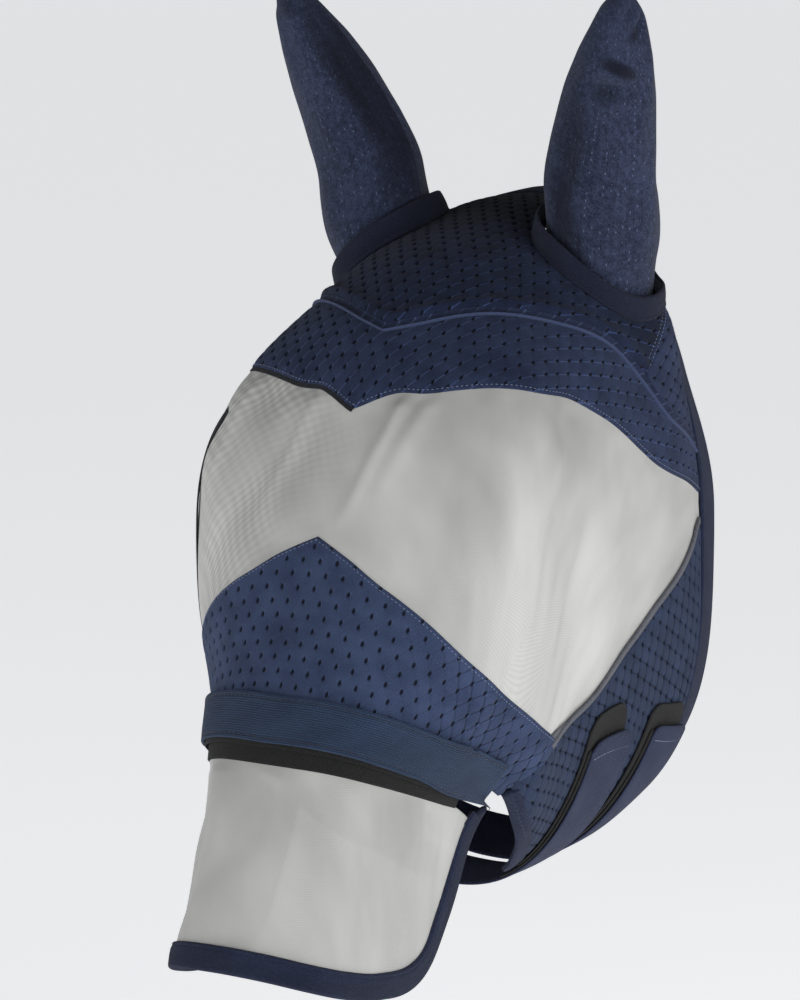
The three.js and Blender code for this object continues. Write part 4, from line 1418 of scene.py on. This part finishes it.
def muzzle_flap():
    flap_mesh()
    upper = line([(0.9820, 0), (0.982, 0.15), (0.986, 0.30), (0.992, 0.42), (1.000, 0.535)])
    lower = line([(1.0110, 0), (1.011, 0.15), (1.016, 0.30), (1.022, 0.42), (1.029, 0.535)])
    piece = panel(
        "flap_loop_tape", upper, lower, (1.4 * MM, 0.8 * MM),
        tape_layers((0, 1.9 * MM), 0.6 * MM), flat="strip",
    )
    dress(piece, LOOP_TAPE, "muzzle_flap", replaces=["flap_loop_strip"])
    piece = strip(
        "flap_edge_binding", FLAP_BOUND, -FLAP_BINDING, 0, (1.8 * MM, 0.8 * MM),
        tape_layers(BINDING_LAYER, 1.9 * MM, grooves=(2.4 * MM,), crown=0.3 * MM), flat="strip",
        crowd=0.75,
    )
    dress(piece, BINDING_CLOTH, "muzzle_flap", replaces=["flap_binding"])


# ---------------------------------------------------------------- throat straps

STRAP_POINTS = 5
TIP_STITCH = (2.2 * MM, 1.0 * MM, 0.5 * MM)
TIP_RADIUS = 9 * MM


def tip_width(width, length):
    """Half width of a strap along its run, rounded at its tip."""

    def at(t):
        gone = np.clip(1 - np.asarray(t) * length / TIP_RADIUS, 0, 1)
        return width / 2 * (0.5 + 0.5 * np.sqrt(np.maximum(1 - gone * gone, 0)))

    return at


def throat_strap(word, path, width, lead):
    body = f"{word}_throat_strap"
    hinge = (4 + (STRAP_HINGE - 1) / 0.2) / STRAP_POINTS
    whole = part(path, 0, min(1.0, hinge + 0.09))
    share = hinge / min(1.0, hinge + 0.09)
    length = run_length(whole)
    half = tip_width(width, length)

    def layers(spots):
        t = spots.from_start / np.maximum(spots.from_start + spots.from_end, 1e-9)
        root = blur_step(t, 0.55 * share, 1.0 * share)
        low = STRAP_LAYER[0] + (STRAP_ROOT_LAYER[0] - STRAP_LAYER[0]) * root
        high = STRAP_LAYER[1] + (STRAP_ROOT_LAYER[1] - STRAP_LAYER[1]) * root
        edge = np.minimum(np.minimum(spots.from_upper, spots.from_lower), spots.from_start)
        bulge = (high - low) / 2 * roundness(edge, 1.3 * MM)
        rim = groove(edge, 3.0 * MM, 0.7 * MM, 0.35 * MM)
        wave = 0.25 * MM * np.sin(spots.from_start * 70 + spots.from_upper * 90)
        middle = (low + high) / 2 + wave
        return middle - bulge, middle + bulge + rim

    strap = panel(
        f"{word}_strap_tape", beside(whole, lambda t: -half(t)), beside(whole, half),
        (1.8 * MM, 1.2 * MM), layers, side=1, flat="strip", crowd=0.6,
    )
    strap.data.materials.append(STRAP_CLOTH)
    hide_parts(f"{word}_strap", f"{word}_strap_anchor")
    fold_at = path(np.array([hinge - 0.012, hinge + 0.012]))
    after, before = surface(fold_at[:, 0], fold_at[:, 1], np.full(2, STRAP_ROOT_LAYER[1]))
    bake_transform(strap)

    # Painted shadow: the hook tape runs on 2.2 mm past the strap's forward edge, so that the black
    # strip beside the strap is partly the hook tape and partly a painted shadow of the strap.
    pad = strip(
        f"{word}_hook_tape", part(path, 0.03, 0.60), -width / 2 + 4 * MM, width / 2 + 2.2 * MM,
        (1.6 * MM, 1.4 * MM), tape_layers(HOOK_LAYER, 0.6 * MM), side=1, flat="strip",
    )
    dress(pad, HOOK_TAPE, body, replaces=[f"{word}_hook_pad"])

    near_tip = 16 * MM / length
    rows = [(on_form(crossing(whole, near_tip, width * 0.44), STRAP_LAYER[1]), *TIP_STITCH)]
    stitching(f"{word}_strap_stitches", rows, body)

    def patch_run(t):
        t = np.asarray(t, float)
        places = path(0.52 * t)
        shift = np.stack([0 * t, -0.027 * (1 - t)], -1)
        return places + shift

    patch_half = tip_width(width, 80 * MM)
    patch = panel(
        f"{word}_loop_tape", beside(patch_run, lambda t: -patch_half(t) + lead),
        beside(patch_run, lambda t: patch_half(t) + lead), (1.6 * MM, 1.4 * MM),
        tape_layers(LOOP_LAYER, 0.7 * MM), side=1, flat="strip",
    )
    dress(patch, LOOP_TAPE, replaces=[f"{word}_loop_patch"])


# ---------------------------------------------------------------- ears


def ear_half_width(share):
    at, half = np.array(EAR_PROFILE).T
    dense = np.linspace(0, 1, 400)
    rounded = np.interp(dense, at, half)
    kernel = np.hanning(41) / np.hanning(41).sum()
    beyond = 2 * rounded[-1] - rounded[-2:-22:-1]
    padded = np.concatenate([np.full(20, rounded[0]), rounded, beyond])
    soft = np.convolve(padded, kernel, mode="valid")
    tip = np.sqrt(np.maximum(1 - np.clip((dense - 0.915) / 0.085, 0, 1) ** 2, 0))
    return np.interp(share, dense, soft * tip) * MM


EAR_FOLDS = {
    # where it is round the ear (radians) and up it (share), its reach each way, height, slant
    "left": (
        (5.00, 0.690, 0.50, 0.026, -5.5 * MM, 0.015),
        (5.00, 0.755, 0.60, 0.030, 2.8 * MM, 0.015),
        (5.10, 0.600, 0.45, 0.032, -3.2 * MM, 0.010),
        (5.95, 0.900, 0.25, 0.022, -3.6 * MM, 0.060),
        (5.50, 0.950, 0.35, 0.016, -2.6 * MM, 0.040),
        (4.30, 0.320, 0.25, 0.180, -3.0 * MM, 0.0),
        (4.95, 0.340, 0.35, 0.200, 1.6 * MM, 0.0),
        (5.60, 0.300, 0.22, 0.160, -2.0 * MM, 0.0),
        (2.00, 0.500, 0.40, 0.020, -1.6 * MM, 0.020),
        (1.30, 0.800, 0.50, 0.016, -1.4 * MM, -0.02),
    ),
    "right": (
        (4.60, 0.550, 0.30, 0.330, 2.6 * MM, 0.0),
        (3.75, 0.560, 0.35, 0.300, -4.6 * MM, 0.0),
        (5.60, 0.930, 0.40, 0.020, -1.2 * MM, 0.030),
        (2.10, 0.420, 0.40, 0.020, -1.6 * MM, 0.020),
        (1.20, 0.740, 0.50, 0.016, -1.4 * MM, -0.02),
    ),
}


def ear_relief(word, angle, share):
    """How the knit of an ear cover lies in soft folds."""
    lean = 0.0 if word == "left" else 1.7
    relief = MM * (0.45 * np.sin(3 * angle + 9 * share + lean) + 0.3 * np.sin(7 * angle - 14 * share))
    for at_angle, at_share, reach_angle, reach_share, height, slant in EAR_FOLDS[word]:
        turned = angle - at_angle
        risen = share - at_share - slant * turned
        relief = relief + height * np.exp(-((turned / reach_angle) ** 2) - (risen / reach_share) ** 2)
    return relief * blur_step(share, 0.02, 0.12) * (1 - blur_step(share, 0.95, 1.0))


def ear_cover(word, side, front):
    start = (math.pi if front else 0.0) + 0.004
    sweep = math.pi - 0.008

    def place(s, t, skin):
        angle = start + s * sweep
        foot = ear_foot(EAR_FOOT, angle, 0.4 * MM) / EAR_LENGTH
        share = foot + (0.997 - foot) * (1 - (1 - t) ** 1.25)
        wide = ear_half_width(np.clip(share, 0, 1))
        flat = 1 + (EAR_DEPTH - 1) * blur_step(share, 0.12, 0.42)
        seam = 0.5 * MM * np.exp(-((np.minimum(s, 1 - s) * sweep * 30) ** 2))
        relief = ear_relief(word, angle, share)
        wide = np.maximum(wide + relief - (1 - skin) * EAR_WALL + skin * seam, 0.1 * MM)
        lean = EAR_BOW[word] * np.sin(np.pi * np.clip(share, 0, 1) ** 0.8)
        lean = lean * blur_step(share, 0.06, 0.36)
        points = ear_point(angle, share * EAR_LENGTH, wide, wide * flat) - EAR_WIDE * lean[:, None]
        return points if side > 0 else points * MIRROR_X

    def flat_cloth(s, t):
        return np.stack([s * sweep * 30 * MM, t * EAR_LENGTH], -1)

    face = "front" if front else "back"
    name = f"{word}_ear_{face}_cover"
    CUT_SIZES[name] = EAR_CUT
    piece = shell(name, 84, 130, place, flat_cloth)
    # The ears' fronts take the knit with painted shade.
    knit = EAR_KNIT
    if front:
        knit = LEFT_EAR_KNIT_WITH_PAINTED_SHADE if word == "left" else RIGHT_EAR_KNIT_WITH_PAINTED_SHADE
    dress(piece, knit, f"{word}_ear", replaces=[f"{word}_ear_{face}"])


def ear_collar(word, side):
    def place(s, t, skin):
        angle = s * 2 * np.pi
        foot = ear_foot(COLLAR["bottom"] - COLLAR["wall"] / 2, angle, SPACER - 0.6 * MM)
        rise = t * (COLLAR["height"] + 1.0 * MM)
        radius = COLLAR["bottom"] + (COLLAR["top"] - COLLAR["bottom"]) * t
        radius = radius + 0.6 * MM * np.sin(np.pi * t) + 0.7 * MM * np.sin(5 * angle + 1) * t
        radius = radius + 0.7 * MM * np.exp(-(((rise - 1.6 * MM) / (0.7 * MM)) ** 2))
        bulge = roundness(np.minimum(rise + 0.6 * MM, COLLAR["height"] + 1.0 * MM - rise), 1.2 * MM)
        wall = COLLAR["wall"] / 2
        radius = radius - wall + np.where(skin == 1, 1, -1) * wall * bulge
        points = ear_point(angle, foot + rise, radius, radius)
        return points if side > 0 else points * MIRROR_X

    def flat_cloth(s, t):
        return np.stack([s * 2 * np.pi * COLLAR["bottom"], t * COLLAR["height"]], -1)

    name = f"{word}_ear_collar_band"
    CUT_SIZES[name] = (2 * math.pi * COLLAR["bottom"], COLLAR["height"] + 1.0 * MM, COLLAR_CUT)
    piece = shell(name, 150, 22, place, flat_cloth, wrap=True)
    dress(piece, COLLAR_CLOTH, replaces=[f"{word}_ear_collar"])


# ---------------------------------------------------------------- stitches


def seam_stitches():
    fine = (1.3 * MM, 1.4 * MM, 0.38 * MM)
    plain = (2.4 * MM, 1.2 * MM, 0.45 * MM)
    hems, tapes = [], []
    for side in (1, -1):
        brow_hem, nose_hem = beside(BROW_EDGE, -SEAM - 1.2 * MM), beside(NOSE_EDGE, SEAM + 1.4 * MM)
        hems.append((on_form(brow_hem, SPACER - 0.4 * MM, side), *fine))
        hems.append((on_form(nose_hem, SPACER - 0.4 * MM, side), *fine))
        gusset = part(GUSSET_SEAM, 0.05, 1)
        for gap in (-1.5 * MM, 1.5 * MM):
            hems.append((on_form(beside(gusset, gap), SPACER - 0.4 * MM, side), *fine))
        run = part(OUTLINE, 0, FRONT_END)
        inner = beside(run, lambda t: binding_width(FRONT_END * t) - 4.6 * MM)
        tapes.append((on_form(inner, BINDING_LAYER[1] - 0.1 * MM, side), *plain))
        upper, lower = band_edges()
        for row in (beside(upper, 2.6 * MM), beside(lower, -2.6 * MM)):
            tapes.append((on_form(row, BAND_LAYER[1] - 0.15 * MM, side), *plain))
    stitching("hem_stitches", hems)
    stitching("tape_stitches", tapes, material=DARK_THREAD)


# ---------------------------------------------------------------- stage

CAMERA_AIM = Vector((-0.0128, -0.0974, -0.160))
CAMERA_DISTANCE = 2.2
CAMERA_TURN = (30, 10)          # degrees round from the front and up
CAMERA_LENS = 138.6             # in mm, on a 36 mm sensor
LIGHT_AIM = Vector((0, -0.1, -0.15))
SOFTBOXES = (                   # name, degrees round and up, distance, size, watts
    ("right_softbox", 80, 12, 1.7, (1.2, 1.6), 14),
    ("left_softbox", -45, 10, 2.0, (1.2, 1.6), 10),
    ("front_softbox", 25, 8, 2.4, (1.6, 1.2), 10),
)
FLOOR_DROP = 0.14               # the straps hang down to here when they are folded open
FLOOR_REACH = 30
FLOOR_COLOUR = (0.62, 0.62, 0.63, 1)
FLOOR_GLOW = (0.97, 0.98, 1.0, 1)


def direction(azimuth, elevation):
    a, e = math.radians(azimuth), math.radians(elevation)
    return Vector((math.sin(a) * math.cos(e), -math.cos(a) * math.cos(e), math.sin(e)))


def camera():
    data = bpy.data.cameras.new("camera")
    data.lens = CAMERA_LENS
    data.sensor_width = 36
    data.clip_start, data.clip_end = 0.05, 50
    made = bpy.data.objects.new("camera", data)
    back = direction(*CAMERA_TURN)
    made.location = CAMERA_AIM + back * CAMERA_DISTANCE
    made.rotation_euler = (-back).to_track_quat("-Z", "Y").to_euler()
    bpy.context.scene.collection.objects.link(made)
    bpy.context.scene.camera = made


def soft_light(name, azimuth, elevation, distance, size, power):
    data = bpy.data.lights.new(name, "AREA")
    data.shape = "RECTANGLE"
    data.size, data.size_y = size
    data.energy = power
    lamp = bpy.data.objects.new(name, data)
    back = direction(azimuth, elevation)
    lamp.location = LIGHT_AIM + back * distance
    lamp.rotation_euler = (-back).to_track_quat("-Z", "Y").to_euler()
    lamp.visible_camera = False
    bpy.context.scene.collection.objects.link(lamp)


def studio_world():
    """A pale room that lights the mask from low all round, and hardly from above."""
    world = bpy.data.worlds.new("studio")
    world.use_nodes = True
    tree = world.node_tree
    glow = tree.nodes["Background"]
    glow.inputs["Color"].default_value = (0.96, 0.97, 1.0, 1)
    place = tree.nodes.new("ShaderNodeTexCoord")
    split = tree.nodes.new("ShaderNodeSeparateXYZ")
    fall = tree.nodes.new("ShaderNodeMapRange")
    seen = tree.nodes.new("ShaderNodeLightPath")
    pick = tree.nodes.new("ShaderNodeMix")
    tree.links.new(place.outputs["Generated"], split.inputs[0])
    tree.links.new(split.outputs["Z"], fall.inputs["Value"])
    fall.inputs["From Min"].default_value, fall.inputs["From Max"].default_value = 0.0, 0.5
    fall.inputs["To Min"].default_value, fall.inputs["To Max"].default_value = 0.40, 0.0
    tree.links.new(seen.outputs["Is Camera Ray"], pick.inputs["Factor"])
    tree.links.new(fall.outputs["Result"], pick.inputs["A"])
    pick.inputs["B"].default_value = 0.86
    tree.links.new(pick.outputs["Result"], glow.inputs["Strength"])
    bpy.context.scene.world = world


def stage():
    bm = bmesh.new()
    ground = Matrix.Translation((0, 0, cad_box[0].z - FLOOR_DROP))
    bmesh.ops.create_grid(bm, x_segments=1, y_segments=1, size=FLOOR_REACH, matrix=ground)
    floor = link("pale_floor", bm)
    paint = bpy.data.materials.new("pale_floor_paint")
    paint.use_nodes = True
    shader = paint.node_tree.nodes["Principled BSDF"]
    shader.inputs["Base Color"].default_value = FLOOR_COLOUR
    shader.inputs["Roughness"].default_value = 0.9
    shader.inputs["Emission Color"].default_value = FLOOR_GLOW
    shader.inputs["Emission Strength"].default_value = 0.74
    floor.data.materials.append(paint)
    studio_world()
    for softbox in SOFTBOXES:
        soft_light(*softbox)
    bpy.context.scene.view_settings.view_transform = "Standard"


# ---------------------------------------------------------------- the mask

camera()
stage()
crown()
brow()
nose()
eye_mesh()
right_net_tapes()
piping()
bindings()
nose_band()
muzzle_flap()
for word, side in SIDES:
    gusset_and_cheek(word, side)
    eye_trim(word, side)
    ear_collar(word, side)
    ear_cover(word, side, True)
    ear_cover(word, side, False)
throat_strap("front", FRONT_STRAP, FRONT_STRAP_WIDTH, 4 * MM)
throat_strap("rear", REAR_STRAP, REAR_STRAP_WIDTH, 5 * MM)
seam_stitches()
